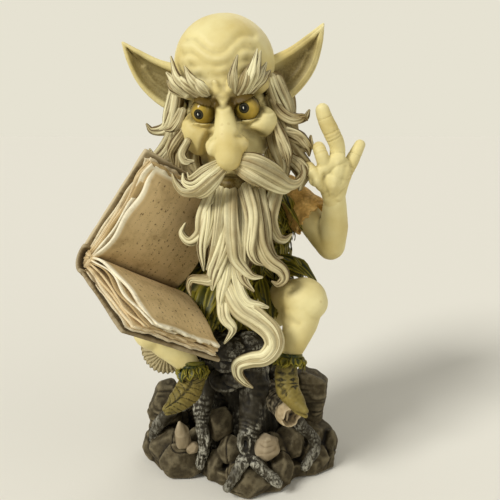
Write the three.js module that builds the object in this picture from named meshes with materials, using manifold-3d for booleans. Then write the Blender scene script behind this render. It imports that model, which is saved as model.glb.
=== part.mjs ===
// Goblin figurine: a bearded goblin in a leaf tunic reads an open book on a root stump over a rock base.
// Millimetres, +Z up, the figure faces -Y. The origin is the middle of the felt pad's underside.
import * as THREE from 'three';
import { mergeVertices } from 'three/addons/utils/BufferGeometryUtils.js';
import Module from 'manifold-3d';

const wasm = await Module();
wasm.setup();
const { Manifold, Mesh } = wasm;

// Driving sizes in millimetres.
const CLEARANCE = 0.3;
const PAD_THICKNESS = 1.2;
const BASE_WIDTH = 138;
const BASE_DEPTH = 94;
const BASE_THICKNESS = 11;
const SEAT_HEIGHT = 100;
const STUMP_RADIUS = 25;
const TORSO_RISE = 92;
const TORSO_DEPTH = 44;
const SHOULDER_SPAN = 76;
const HEAD_WIDTH = 62;
const HEAD_RISE = 149;
const EYE_DIAMETER = 15.4;
const EAR_THICKNESS = 5;
const NOSE_RADIUS = 10;
const KNEE_RADIUS = 14;
const BOOT_RADIUS = 8;
const WRIST_RADIUS = 6.8;
const FINGER_RADIUS = 4;
const BOOK_LENGTH = 64;
const BOOK_WIDTH = 67;
const BOOK_OPENING = 86;
const BLOCK_THICKNESS = 8;
const BOARD_THICKNESS = 2.2;
const BOARD_OVERHANG = 2.5;
const LEAF_SHEET = 0.9;
const PEG_RADIUS = 3;
const BASE_BOTTOM = PAD_THICKNESS + CLEARANCE;

const V = (x, y, z) => new THREE.Vector3(x, y, z);
const UP = V(0, 0, 1);
const FRONT = V(0, -1, 0);

// A closed geometry becomes a solid: equal corners join and empty triangles go.
function solid(geometry) {
  const bare = new THREE.BufferGeometry();
  bare.setAttribute('position', geometry.attributes.position);
  if (geometry.index) bare.setIndex(geometry.index);
  const joined = mergeVertices(bare, 1e-4);
  const corners = joined.attributes.position.array;
  const faces = [];
  let volume = 0;
  for (let i = 0; i < joined.index.count; i += 3) {
    const [a, b, c] = [0, 1, 2].map((k) => joined.index.getX(i + k));
    if (a === b || b === c || c === a) continue;
    faces.push([a, b, c]);
    const [p, q, r] = [a, b, c].map((k) => V(...corners.slice(3 * k, 3 * k + 3)));
    volume += p.dot(q.cross(r));
  }
  const turned = volume < 0 ? faces.map(([a, b, c]) => [a, c, b]) : faces;
  return new Manifold(new Mesh({
    numProp: 3,
    vertProperties: new Float32Array(corners),
    triVerts: new Uint32Array(turned.flat()),
  }));
}

const join = (parts) => parts.reduce((whole, part) => whole.add(part));

// Rings of equal count, skinned and capped.
function loft(rings) {
  const sides = rings[0].length;
  const points = rings.flat();
  const faces = [];
  for (let i = 0; i + 1 < rings.length; i += 1) {
    for (let j = 0; j < sides; j += 1) {
      const a = i * sides + j;
      const b = i * sides + ((j + 1) % sides);
      faces.push(a, b, b + sides, a, b + sides, a + sides);
    }
  }
  for (const end of [0, rings.length - 1]) {
    const middle = rings[end].reduce((sum, p) => sum.add(p), V(0, 0, 0)).divideScalar(sides);
    points.push(middle);
    for (let j = 0; j < sides; j += 1) {
      const a = end * sides + j;
      const b = end * sides + ((j + 1) % sides);
      const tip = points.length - 1;
      faces.push(...(end === 0 ? [tip, b, a] : [tip, a, b]));
    }
  }
  const geometry = new THREE.BufferGeometry();
  geometry.setAttribute('position', new THREE.Float32BufferAttribute(points.flatMap((p) => p.toArray()), 3));
  geometry.setIndex(faces);
  return solid(geometry);
}

// A round-ended tapering tube through points. `thick` flattens it along `up`.
function limb(points, radii, grow = 0, { sides = 8, steps = 3, up = null, thick = 1 } = {}) {
  const curve = new THREE.CatmullRomCurve3(points);
  const count = Math.max(2, (points.length - 1) * steps);
  const radius = (t) => {
    const s = t * (radii.length - 1);
    const i = Math.min(Math.floor(s), radii.length - 2);
    return THREE.MathUtils.lerp(radii[i], radii[i + 1], s - i) + grow;
  };
  const stations = [];
  const caps = (r) => (r > 6.5 ? [70, 35] : [55]);
  for (const turn of caps(radii[0])) stations.push([0, THREE.MathUtils.degToRad(turn), -1]);
  for (let i = 0; i <= count; i += 1) stations.push([i / count, 0, 0]);
  for (const turn of caps(radii.at(-1)).reverse()) stations.push([1, THREE.MathUtils.degToRad(turn), 1]);
  let side = null;
  const rings = stations.map(([t, turn, end]) => {
    const along = curve.getTangent(t).normalize();
    if (up) side = V(0, 0, 0).crossVectors(along, up).normalize();
    else if (side) side = side.clone().addScaledVector(along, -side.dot(along)).normalize();
    else side = V(0, 0, 0).crossVectors(along, Math.abs(along.z) > 0.8 ? FRONT : UP).normalize();
    const lift = V(0, 0, 0).crossVectors(side, along);
    const r = radius(t);
    const past = end * r * Math.sin(turn) * Math.min(1, thick + 0.3);
    const middle = curve.getPoint(t).addScaledVector(along, past);
    return Array.from({ length: sides }, (_, j) => {
      const a = (2 * Math.PI * j) / sides;
      const w = r * Math.cos(turn) * Math.cos(a);
      const h = ((r - grow) * thick + grow) * Math.cos(turn) * Math.sin(a);
      return middle.clone().addScaledVector(side, w).addScaledVector(lift, h);
    });
  });
  return loft(rings);
}

function ball(centre, radii, grow = 0, [across, down] = [10, 6], tilt = [0, 0, 0]) {
  const geometry = new THREE.SphereGeometry(1, across, down);
  geometry.rotateX(Math.PI / 2);
  geometry.scale(...radii.map((r) => r + grow));
  geometry.applyMatrix4(new THREE.Matrix4().makeRotationFromEuler(new THREE.Euler(...tilt)));
  return solid(geometry.translate(...centre.toArray()));
}

// A weathered rock: a ball with flats broken off it.
const FLATS = 14;
function boulder(centre, radii, seed, grow = 0, tilt = [0, 0, 0]) {
  const flats = Array.from({ length: FLATS }, (_, k) => {
    const rise = 1 - (2 * k + 1) / FLATS;
    const turn = 2.4 * k + seed;
    const reach = Math.sqrt(1 - rise * rise);
    const depth = 0.88 + 0.09 * Math.sin(5.1 * k + 1.7 * seed);
    return [V(reach * Math.cos(turn), reach * Math.sin(turn), rise), depth];
  });
  const geometry = new THREE.IcosahedronGeometry(1.04, 1);
  const spots = geometry.attributes.position;
  for (let i = 0; i < spots.count; i += 1) {
    const p = V(spots.getX(i), spots.getY(i), spots.getZ(i));
    const keep = Math.min(1, ...flats.map(([way, depth]) => depth / Math.max(p.dot(way), 0.3)));
    p.multiplyScalar(keep);
    spots.setXYZ(i, p.x * (radii[0] + grow), p.y * (radii[1] + grow), p.z * (radii[2] + grow));
  }
  geometry.applyMatrix4(new THREE.Matrix4().makeRotationFromEuler(new THREE.Euler(...tilt)));
  return solid(geometry.translate(...centre.toArray()));
}

function block(low, high, grow = 0) {
  const size = V(0, 0, 0).subVectors(high, low).addScalar(2 * grow);
  const geometry = new THREE.BoxGeometry(size.x, size.y, size.z);
  return solid(geometry.translate(...V(0, 0, 0).addVectors(low, high).divideScalar(2).toArray()));
}

const mirror = (points) => points.map((p) => V(-p.x, p.y, p.z));
const paint = (color, roughness = 0.75) => new THREE.MeshStandardMaterial({ color, roughness, metalness: 0 });

const SKIN = paint(0xd8c47c, 0.6);
const HAIR = paint(0xcfc196, 0.8);
const LEAF = paint(0x4f4a12, 0.7);
const SLEEVE = paint(0xa27c36, 0.85);
const BOOT = paint(0x6f5a24, 0.7);
const BARK = paint(0x342d1c, 0.8);
const ROCK = paint(0x5c5138, 0.85);
const STONE = paint(0x9a8c72, 0.8);
const PAGE = paint(0xc2a775, 0.8);
const COVER = paint(0x5d4a2e, 0.7);
const EYE = paint(0x8a742a, 0.25);
const FUNGUS = paint(0x8e815c, 0.8);
const FELT = paint(0x2f3a26, 0.95);
const PEG = paint(0xb08d57, 0.8);

// Frames that carry the pieces: the seated figure, the bowed head, the raised hand and the open book.
const group = new THREE.Group();
group.name = 'goblin_figurine';

function frame(name, parent, position, rotation = [0, 0, 0]) {
  const node = new THREE.Group();
  node.name = name;
  node.position.copy(position);
  node.rotation.set(...rotation);
  parent.add(node);
  return node;
}

const deg = THREE.MathUtils.degToRad;
const ground = frame('ground', group, V(0, 0, 0));
const figure = frame('figure', group, V(0, 0, SEAT_HEIGHT));
const HEAD_TURN = [deg(9), deg(-5), deg(-1)];
const head = frame('bowed_head', figure, V(-6, -8, HEAD_RISE), HEAD_TURN);
const hand = frame('raised_hand', figure, V(58, -26, TORSO_RISE + 13));
const book = frame('open_book', figure, V(-41, -16.5, 29));
const across = V(-0.68, -0.57, 0.46).normalize();
const toReader = V(0.51, -0.82, -0.26);
toReader.addScaledVector(across, -toReader.dot(across)).normalize();
const offPage = V(0, 0, 0).crossVectors(across, toReader);
book.quaternion.setFromRotationMatrix(new THREE.Matrix4().makeBasis(across, toReader, offPage));
const upperHalf = frame('upper_half', book, V(0, 0, 0), [deg(BOOK_OPENING), 0, 0]);
group.updateMatrixWorld(true);

// Body anchors in the seated figure's frame.
const HALF = SHOULDER_SPAN / 2;
const BROAD = HALF / 38;
const HIP = V(18 * BROAD, 8, 9);
const KNEE_LEFT = V(41, -38, 29);
const ANKLE_LEFT = V(32, -46, -7);
const KNEE_RIGHT = V(-50, -37, 10);
const ANKLE_RIGHT = V(-28, -41, -15);
const SHOULDER = V(HALF - 4, 6, TORSO_RISE - 6);
const HEM = V(HALF + 13, -3, TORSO_RISE - 22);
const ELBOW = V(HALF + 23, -5, TORSO_RISE - 37);
const WRIST = V(HALF + 22.6, -21, TORSO_RISE - 3);
const SHOULDER_RIGHT = V(-SHOULDER.x, SHOULDER.y, SHOULDER.z);
const HEM_RIGHT = V(-HALF - 11, 8, TORSO_RISE - 23);
const ELBOW_RIGHT = V(-HALF - 25, 10, TORSO_RISE - 40);
const between = (a, b, t) => V(0, 0, 0).lerpVectors(a, b, t);

const pieces = [];
// `forms(grow)` is the piece's full shape in its frame, swollen by `grow`.
// A piece gives way, with a glue gap, to every piece named before it.
function piece(name, parent, origin, material, forms) {
  pieces.push({ name, parent, origin, material, forms });
}

const touching = (a, b) => [0, 1, 2].every((k) => a.min[k] < b.max[k] && b.min[k] < a.max[k]);

const largest = (shape) => shape.decompose().reduce(
  (most, body) => (body.volume() > most.volume() ? body : most),
);

function assemble() {
  const set = [];
  for (const { name, parent, origin, material, forms } of pieces) {
    const matrix = parent.matrixWorld;
    const [full, swollen, grown] = [0, CLEARANCE / 2, CLEARANCE].map(
      (g) => forms(g).transform(matrix.elements.slice()),
    );
    const box = grown.boundingBox();
    const near = set.filter((other) => touching(other.box, box));
    const cut = near.reduce((shape, other) => shape.subtract(other.grown), full);
    const slim = largest(cut).asOriginal().simplify(CLEARANCE * 0.6);
    const clear = near.reduce((shape, other) => shape.subtract(other.swollen).subtract(other.final), slim);
    const final = largest(clear);
    set.push({ swollen, grown, final, box });
    const back = new THREE.Matrix4().copy(matrix).invert();
    const local = final.transform(back.elements.slice()).translate(origin.clone().negate().toArray());
    const mesh = local.getMesh();
    const geometry = new THREE.BufferGeometry();
    geometry.setAttribute('position', new THREE.Float32BufferAttribute(mesh.vertProperties, 3));
    geometry.setIndex(Array.from(mesh.triVerts));
    geometry.computeVertexNormals();
    const node = new THREE.Mesh(geometry, material);
    node.name = name;
    node.position.copy(origin);
    parent.add(node);
  }
}

// Felt pad and the hidden pegs that line the castings up.
const WIDE = BASE_WIDTH / 130;
const DEEP = BASE_DEPTH / 94;
const OUTLINE = [
  [-50, -20], [-36, -30], [-25, -23], [-11, -38], [8, -48], [26, -45], [36, -29], [49, -26],
  [62, -16], [65, 4], [58, 24], [38, 39], [8, 46], [-26, 42], [-52, 27], [-64, 4],
].map(([x, y]) => [x * WIDE, y * DEEP]);
const outlineRing = (z, inset) => OUTLINE.map(([x, y]) => {
  const keep = 1 - inset / Math.hypot(x, y);
  return V(x * keep, y * keep, z);
});
const onBase = (x, y, z) => V(x * WIDE, y * DEEP, z);
const aboveTable = (shape) => shape.subtract(block(V(-200, -200, -60), V(200, 200, BASE_BOTTOM)));

piece('felt_pad', ground, V(0, 0, 0), FELT, (g) => loft([
  outlineRing(-g, 5 - g),
  outlineRing(PAD_THICKNESS + g, 5 - g),
]));
piece('stump_dowel', ground, V(0, 6, 60), PEG, (g) => limb(
  [V(0, 6, 8), V(0, 6, SEAT_HEIGHT + 24)], [PEG_RADIUS, PEG_RADIUS], g, { steps: 2 },
));
piece('neck_dowel', figure, V(-2, 6, TORSO_RISE + 4), PEG, (g) => limb(
  [V(-1, 6, TORSO_RISE - 14), V(-4, 4, TORSO_RISE + 24)], [PEG_RADIUS, PEG_RADIUS], g, { steps: 2 },
));
const PALM = V(BOOK_LENGTH * 0.42, BOOK_WIDTH * 0.36, BLOCK_THICKNESS + BOARD_THICKNESS + 8);
piece('book_peg', upperHalf, PALM, PEG, (g) => limb(
  [PALM.clone().setZ(4), PALM], [2, 2], g, { sides: 8, steps: 2 },
));

// Stump: trunk, seat and the roots that run down over the rocks.
const TRUNK = STUMP_RADIUS / 25;
const HIGH = SEAT_HEIGHT / 100;
const onStump = (x, y, z) => V(x * TRUNK, y * TRUNK, z * HIGH);
const ROOTS = [
  [[[6, -19, 88], [11, -27, 64], [9, -35, 46], [6, -40, 34], [7, -44, 27]], [12, 11, 8.5, 6.4, 5]],
  [[[7, -43, 28], [1, -49, 20], [-6, -52, 9]], [4.6, 4, 3.2]],
  [[[7, -43, 28], [15, -48, 20], [26, -49, 10]], [4.6, 4, 3.2]],
  [
    [[16, -8, 84], [31, -17, 58], [39, -22, 40], [49, -23, 29], [52, -24, 20], [45, -28, 9]],
    [9, 7.4, 4.8, 4, 3.8, 3.2],
  ],
  [[[-14, -8, 84], [-22, -20, 58], [-24, -27, 40], [-22, -30, 27], [-25, -31, 12]], [9, 7, 4.8, 4, 3.4]],
  [[[-22, -18, 60], [-44, -15, 44], [-57, -9, 26], [-56, -10, 9]], [6, 4.8, 4.2, 3.6]],
  [[[-16, 12, 70], [-30, 30, 38], [-42, 36, 10]], [10, 7, 4.4]],
  [[[16, 12, 70], [29, 29, 38], [37, 32, 9]], [10, 7, 4.4]],
  [[[2, 16, 72], [-2, 32, 40], [4, 38, 9]], [11, 7, 4.4]],
  [[[-12, -6, 72], [-34, -17, 78], [-49, -23, 82]], [9, 7, 5]],
];
const SHELVES = [
  [[-4, -27, 92], [10, 9, 6]],
  [[-8, -28, 84], [7, 8, 5.5]],
  [[-8, -25, 71], [10, 10, 5]],
  [[-1, -28, 75], [8, 9, 4.5]],
];
const TRUNK_PATH = [onStump(0, 5, 16), onStump(0, 4, 50), onStump(0, 4, 76)];
const TRUNK_RADII = [30, 23, 25].map((r) => r * TRUNK);
const root = ([path, radii]) => (g) => limb(path.map((p) => onStump(...p)), radii, g, { sides: 6, steps: 2 });
piece('root_stump', ground, V(0, 4, 60), BARK, (g) => aboveTable(join([
  limb(TRUNK_PATH, TRUNK_RADII, g, { sides: 12, steps: 2 }),
  ball(onStump(0, 2, 88), [32 * TRUNK, 30 * TRUNK, 13 * HIGH], g),
  ...SHELVES.map(([centre, radii]) => ball(onStump(...centre), radii, g, [8, 5], [0.5, 0, 0])),
  ...ROOTS.map((each) => root(each)(g)),
])));
piece('root_stub', ground, onStump(28, -42, 58), BARK, (g) => limb(
  [onStump(20, -24, 60), onStump(27, -38, 59), onStump(32, -47, 57)], [8.5, 7, 7.4], g,
).subtract(ball(onStump(34.5, -53, 56), [6 - g, 9 - g, 6 - g], 0, [10, 7])));

// Rock casting, the rocks stacked on it and the loose stones.
const BOULDERS = [
  [[-42, -10, 12], [18, 16, 15]], [[-36, -23, 11], [15, 12, 14]], [[-47, 16, 14], [16, 18, 18]],
  [[-20, 27, 13], [24, 16, 19]], [[22, 28, 13], [25, 15, 19]], [[50, 2, 14], [14, 18, 16]],
  [[47, -15, 9], [13, 11, 12]], [[-14, -27, 7], [7, 9, 14]], [[8, -40, 7], [18, 14, 12]],
  [[26, -33, 10], [9, 11, 15]], [[-4, -27, 21], [10, 9, 11]], [[33, -19, 21], [12, 9, 13]],
  [[-26, -15, 14], [11, 10, 17]], [[60, -4, 13], [6, 9, 12]], [[-57, 0, 10], [8, 13, 11]],
  [[20, -24, 16], [12, 9, 15]], [[55, 16, 9], [9, 11, 10]],
];
piece('rock_base', ground, V(0, 0, 0), ROCK, (g) => aboveTable(join([
  loft([outlineRing(BASE_BOTTOM - 1, 1 - g), outlineRing(5, -g), outlineRing(BASE_THICKNESS + g, 6 - g)]),
  ...BOULDERS.map(([centre, radii], k) => boulder(onBase(...centre), radii, k + 1, g)),
])));
piece('rock_left', ground, onBase(-48, 3, 40), ROCK, (g) => boulder(
  onBase(-48, 3, 38), [13, 14, 19], 31, g, [0.1, 0.15, 0.3],
));
piece('rock_slab', ground, onBase(47, 10, 36), ROCK, (g) => boulder(
  onBase(47, 10, 36), [12, 15, 29], 32, g, [0.08, 0.14, -0.2],
));
piece('rock_middle', ground, onBase(-11, -22, 38), ROCK, (g) => boulder(
  onBase(-11, -21, 37), [10, 9, 14], 33, g, [0.2, 0, 0.3],
));
piece('pale_stone', ground, onStump(18, -40, 30), STONE, (g) => boulder(
  onStump(18, -40, 30), [7.6, 7.2, 7.8], 12, g,
));
piece('pointed_stone', ground, onBase(-34.5, -30, 32), STONE, (g) => limb(
  [onBase(-34, -27, 21), onBase(-34.6, -31, 34), onBase(-35.3, -34, 44)], [6, 5.4, 1.5], g, { sides: 7 },
));
piece('small_pebble', ground, onBase(-28.5, -30, 24), STONE, (g) => boulder(
  onBase(-28.5, -30, 24), [4.6, 4.6, 4.6], 14, g,
));

// Bracket mushroom: an upright fan at the end of the stump's side branch.
const FAN = onStump(-46, -27, 95);
const fanEdge = (y, reach) => [-62, -85, -108, -131, -154, -177, -200, -222].map((a) => V(
  FAN.x + reach * Math.cos(deg(a)), FAN.y + y, FAN.z + 1.1 * reach * Math.sin(deg(a)),
)).concat(V(FAN.x + 1.5, FAN.y + y, FAN.z + 1.5));
piece('bracket_mushroom', ground, FAN, FUNGUS, (g) => loft([
  fanEdge(3 + g, 12 + g), fanEdge(1, 15.5 + g), fanEdge(-1.5, 15 + g), fanEdge(-4 - g, 9 + g),
]));

// Book: two boards, a rounded spine, two wavy page blocks and a loose leaf on each.
const LOW = -BLOCK_THICKNESS - BOARD_THICKNESS - CLEARANCE;
const board = (z, g) => block(
  V(-BOARD_OVERHANG, 1.5, z),
  V(BOOK_LENGTH + BOARD_OVERHANG, BOOK_WIDTH + BOARD_OVERHANG, z + BOARD_THICKNESS), g,
);
piece('board_lower', book, V(BOOK_LENGTH / 2, 0, LOW), COVER, (g) => board(LOW, g));
piece('board_upper', upperHalf, V(BOOK_LENGTH / 2, 0, BLOCK_THICKNESS), COVER, (g) => board(
  BLOCK_THICKNESS + CLEARANCE, g,
));

// A section in (y, z), pulled along the gutter.
function section(outline, low, high) {
  const shape = new THREE.Shape(outline.map(([y, z]) => new THREE.Vector2(y, z)));
  const geometry = new THREE.ExtrudeGeometry(shape, { depth: high - low, bevelEnabled: false });
  geometry.applyMatrix4(new THREE.Matrix4().makeBasis(V(0, 1, 0), V(0, 0, 1), V(1, 0, 0)));
  return solid(geometry.translate(low, 0, 0));
}
const BACK = BLOCK_THICKNESS + BOARD_THICKNESS / 2 + CLEARANCE;
const spineArc = (r) => [0, 0.25, 0.5, 0.75, 1].map((t) => {
  const a = deg(-90 - (180 - BOOK_OPENING) * t);
  return [r * Math.cos(a) + 1.2, r * Math.sin(a)];
});
piece('spine', book, V(BOOK_LENGTH / 2, -5, -5), COVER, (g) => section(
  [...spineArc(BACK + BOARD_THICKNESS * 0.7 + g), ...spineArc(BACK - BOARD_THICKNESS * 0.7 - g).reverse()],
  -BOARD_OVERHANG - g, BOOK_LENGTH + BOARD_OVERHANG + g,
));

// Page height over the gutter line, by the share of the page's width.
const swell = (t, lift) => lift * Math.sin(Math.PI * Math.min(1, t * 1.15)) - 2.6 * t + 0.5 * Math.sin(9 * t);
const STATIONS = [0.02, 0.1, 0.2, 0.32, 0.45, 0.6, 0.75, 0.88, 1];
const pages = (lift, side) => (g) => section([
  [0.8 - g, side * (-BLOCK_THICKNESS - g)],
  ...STATIONS.map((t) => [BOOK_WIDTH * t, side * (swell(t, lift) + g)]),
  [BOOK_WIDTH + 0.6 + g, side * (-BLOCK_THICKNESS - g)],
], -g, BOOK_LENGTH + g);
const sheet = (lift, side) => (g) => {
  const rise = (t) => swell(t, 3.2) + lift * Math.sin(Math.PI * Math.min(1, t * 0.9)) - 0.4;
  const run = (add) => STATIONS.map((t) => [BOOK_WIDTH * 0.98 * t, side * (rise(t) + add)]);
  return section([...run(-g), ...run(LEAF_SHEET + g).reverse()], 1 - g, BOOK_LENGTH - 1 + g);
};
const PAGE_MIDDLE = V(BOOK_LENGTH / 2, BOOK_WIDTH / 2, 0);
piece('pages_lower', book, PAGE_MIDDLE, PAGE, pages(3.4, 1));
piece('pages_upper', upperHalf, PAGE_MIDDLE, PAGE, pages(3, -1));
piece('loose_leaf_lower', book, PAGE_MIDDLE, PAGE, sheet(3, 1));
piece('loose_leaf_upper', upperHalf, PAGE_MIDDLE, PAGE, sheet(3, -1));

// Legs: bare knees and shins, pointed boots and leaf cuffs.
const leg = (hip, knee, ankle) => (g) => {
  const calf = between(knee, ankle, 0.45).add(V(Math.sign(knee.x) * 1.5, 1, 0));
  return join([
    limb([hip, knee], [15 * BROAD, KNEE_RADIUS - 1.5], g, { sides: 10, steps: 1 }),
    ball(knee, [KNEE_RADIUS, KNEE_RADIUS - 0.5, KNEE_RADIUS - 2], g),
    limb([knee, calf, ankle], [KNEE_RADIUS - 1, KNEE_RADIUS - 2, KNEE_RADIUS / 2], g, { steps: 2 }),
  ]);
};
piece('leg_left', figure, KNEE_LEFT, SKIN, leg(HIP, KNEE_LEFT, ANKLE_LEFT));
piece('leg_right', figure, KNEE_RIGHT, SKIN, leg(V(-HIP.x, HIP.y, HIP.z), KNEE_RIGHT, ANKLE_RIGHT));

const BOOT_RADII = [0.95, 1.03, 1, 0.7, 0.3].map((share) => share * BOOT_RADIUS);
const boot = (ankle, path) => (g) => limb(
  path.map((p) => ankle.clone().add(V(...p))), BOOT_RADII, g, { steps: 2 },
);
piece('boot_left', figure, ANKLE_LEFT, BOOT, boot(ANKLE_LEFT, [
  [-1.5, 0, -4], [-1.5, -1.5, -13], [-0.5, -5, -19], [4.4, -11, -24], [9, -16.5, -26.5],
]));
piece('boot_right', figure, ANKLE_RIGHT, BOOT, boot(ANKLE_RIGHT, [
  [0.5, 0.5, -3], [-0.8, -1, -10], [-3.4, -5, -14.5], [-8.9, -12, -18], [-14, -17.5, -19],
]));
const cuff = (ankle, axis, points) => (g) => {
  const out = axis.clone().normalize();
  const side = V(0, 0, 0).crossVectors(out, FRONT).normalize();
  const lift = V(0, 0, 0).crossVectors(side, out);
  const ring = (down, share, wave) => Array.from({ length: points * 3 }, (_, j) => {
    const r = share * BOOT_RADIUS;
    const a = (2 * Math.PI * j) / (points * 3);
    const leafy = wave * (j % 3 === 0 ? 1 : -0.5);
    return ankle.clone().addScaledVector(out, down + leafy)
      .addScaledVector(side, (r + 0.3 * leafy) * Math.cos(a))
      .addScaledVector(lift, (r + 0.3 * leafy) * Math.sin(a));
  });
  return loft([
    ring(-4 - g, 0.95 + g / BOOT_RADIUS, 0), ring(0, 1.15 + g / BOOT_RADIUS, 0),
    ring(6 + g, 1.45 + g / BOOT_RADIUS, 2.2), ring(5, 1.2, 1.8), ring(1, 0.75, 0),
  ]);
};
piece('boot_cuff_left', figure, ANKLE_LEFT, LEAF, cuff(ANKLE_LEFT, V(-0.1, -0.15, -1), 5));
piece('boot_cuff_right', figure, ANKLE_RIGHT, LEAF, cuff(ANKLE_RIGHT, V(0, -0.3, -1), 5));

// Body: a tunic of leaves with skirt leaves hung from belt strips.
const RISE = TORSO_RISE / 92;
const GIRTH = TORSO_DEPTH / 44;
const BODY = [
  [-2, 27, 20, 8], [14, 31, 23, 9], [34, 29, 22, 10], [56, 31, 22, 10], [76, 33, 21, 9], [88, 27, 17, 8],
  [95, 15, 13, 5],
];
const bodyRing = ([z, rx, ry, y], g) => Array.from({ length: 14 }, (_, j) => {
  const a = (2 * Math.PI * j) / 14;
  const wide = rx * BROAD + g;
  return V(wide * Math.cos(a), y + (ry * GIRTH + g) * Math.sin(a), z * RISE + (z > 90 ? g : 0));
});
piece('tunic', figure, V(0, 8, 40), LEAF, (g) => loft(BODY.map((ring) => bodyRing(ring, g))));

const foliage = ([points, radii, up], g) => limb(points, radii, g, { sides: 6, steps: 1, up, thick: 0.3 });
const leaves = (strip, list) => (g) => join([
  limb(strip, strip.map(() => 3.4), g, { sides: 5, steps: 1 }),
  ...list.map((each) => foliage(each, g)),
]);
const around = (degrees, z, out = 1) => {
  const a = deg(degrees);
  return V((30 * BROAD + out) * Math.cos(a), 10 + (22.5 * GIRTH + out) * Math.sin(a), z);
};
const atHip = (x, y, z) => V(x * BROAD, y, z * RISE);
const LEAF_RADII = [5, 11, 9, 1.5];
const BELT_LEFT = [-62, -30, 2, 36].map((a) => around(a, 33 * RISE));
const hanging = (degrees, points, up) => [
  [around(degrees, 33 * RISE), ...points.map((p) => atHip(...p))], LEAF_RADII, up,
];
const SKIRT_LEFT = [
  hanging(-58, [[19, -22, 24], [24, -31, 18], [21, -38, 9]], V(0.2, -0.7, 0.7)),
  hanging(-25, [[36, -8, 28], [45, -12, 20], [49, -14, 7]], V(0.8, -0.2, 0.5)),
  hanging(18, [[36, 18, 20], [41, 19, 6], [43, 21, -6]], V(1, 0.3, 0.2)),
];
const SKIRT_RIGHT = [
  hanging(238, [[-19, -22, 24], [-24, -31, 18], [-21, -38, 9]], V(-0.2, -0.7, 0.7)),
  hanging(208, [[-37, -5, 29], [-47, -6, 23], [-53, -6, 11]], V(-0.8, -0.2, 0.5)),
  hanging(162, [[-36, 18, 20], [-41, 19, 6], [-43, 21, -6]], V(-1, 0.3, 0.2)),
];
const mirrored = (list) => list.map(([points, radii, up]) => [mirror(points), radii, V(-up.x, up.y, up.z)]);
const BELT_BACK = [50, 75, 105, 130].map((a) => around(a, 33 * RISE));
const SKIRT_BACK = [
  hanging(58, [[18, 34, 20], [20, 35, 5], [20, 35, -9]], V(0.3, 1, 0.1)),
  hanging(90, [[0, 37, 19], [0, 38, 2], [0, 38, -13]], V(0, 1, 0.1)),
  hanging(122, [[-18, 34, 20], [-20, 35, 5], [-20, 35, -9]], V(-0.3, 1, 0.1)),
];
piece('skirt_left', figure, around(0, 26), LEAF, leaves(BELT_LEFT, SKIRT_LEFT));
piece('skirt_right', figure, around(180, 26), LEAF, leaves(mirror(BELT_LEFT), SKIRT_RIGHT));
piece('skirt_back', figure, around(90, 20), LEAF, leaves(BELT_BACK, SKIRT_BACK));

// Head: skull, face and nose round the set-in eyes, with leaf-shaped ears.
const SKULL = HEAD_WIDTH / 62;
const H = (x, y, z) => V(x, y, z).multiplyScalar(SKULL);
const onHead = (list) => list.map((p) => H(...p));
const sized = (...radii) => radii.map((r) => r * SKULL);
const EYE_SPOT = H(12.4, -31, -1);
const EYE_RADIUS = EYE_DIAMETER / 2;
const eyeball = (s) => (g) => ball(
  V(s * EYE_SPOT.x, EYE_SPOT.y, EYE_SPOT.z), [EYE_RADIUS, EYE_RADIUS, EYE_RADIUS], g, [10, 7],
);
piece('eye_left', head, EYE_SPOT, EYE, eyeball(1));
piece('eye_right', head, V(-EYE_SPOT.x, EYE_SPOT.y, EYE_SPOT.z), EYE, eyeball(-1));
const NOSE = onHead([[0, -33, 4], [0, -43, -8], [0.5, -50, -19], [1, -50, -25]]);
const fold = (path, radii, g) => limb(onHead(path), radii, g, { sides: 5, steps: 1 });
const half = (s) => (g) => join([
  ball(H(17 * s, -27, -16), sized(11, 9, 12), g, [8, 5]),
  ball(H(8.5 * s, -43, -23), sized(6.5, 7, 6), g, [7, 5]),
  fold([[22 * s, -28, 1], [13 * s, -38.5, 6], [4 * s, -34, 3]], [2.6, 3.2, 2.6], g),
  fold([[22 * s, -28, -6], [13 * s, -36.5, -10], [5 * s, -34, -7]], [2.2, 2.6, 2.2], g),
]);
piece('head', head, V(0, 0, 0), SKIN, (g) => join([
  ball(H(0, 4, 20), sized(31, 36, 30), g, [14, 8]),
  ball(H(0, -22, 9), sized(27, 13, 9), g, [10, 5]),
  ball(H(0, -8, -14), sized(27, 28, 30), g, [12, 7]),
  ball(H(0, -16, -40), sized(19, 19, 16), g, [10, 6]),
  limb(NOSE, [5.5, 6.5, NOSE_RADIUS, NOSE_RADIUS * 0.85], g, { steps: 2 }),
  limb(onHead([[0, 2, -38], [6, 12, -58]]), sized(17, 15), g, { sides: 10, steps: 2 }),
  fold([[-8, -33, -49], [0, -36, -51], [8, -33, -49]], [2.6, 3.6, 2.6], g),
  half(-1)(g),
  half(1)(g),
]));

const EAR = [
  [22, 17], [40, 24], [52, 31], [62, 38], [60, 28], [56, 16], [50, 7], [41, -1], [30, -6], [22, -4],
];
const ear = (s) => (g) => {
  const rim = (spread, y) => EAR.map(([x, z]) => {
    const reach = Math.hypot(x - 42, z - 14);
    const grown = 1 + spread / reach;
    return H(s * (42 + (x - 42) * grown), y + 0.16 * (x - 22), 14 + (z - 14) * grown);
  });
  const shell = loft([
    rim(-2 + g, 2 - g), rim(g, 4), rim(g, EAR_THICKNESS + 2), rim(-4 + g, EAR_THICKNESS + 6 + g),
  ]);
  const bowl = sized(11, 4.5, 9).map((r) => r - g);
  return shell.subtract(ball(H(s * 43, 5, 14), bowl, 0, [10, 7], [0, s * -0.5, s * 0.16]));
};
piece('ear_left', head, H(30, 6, 8), SKIN, ear(1));
piece('ear_right', head, H(-30, 6, 8), SKIN, ear(-1));

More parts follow.
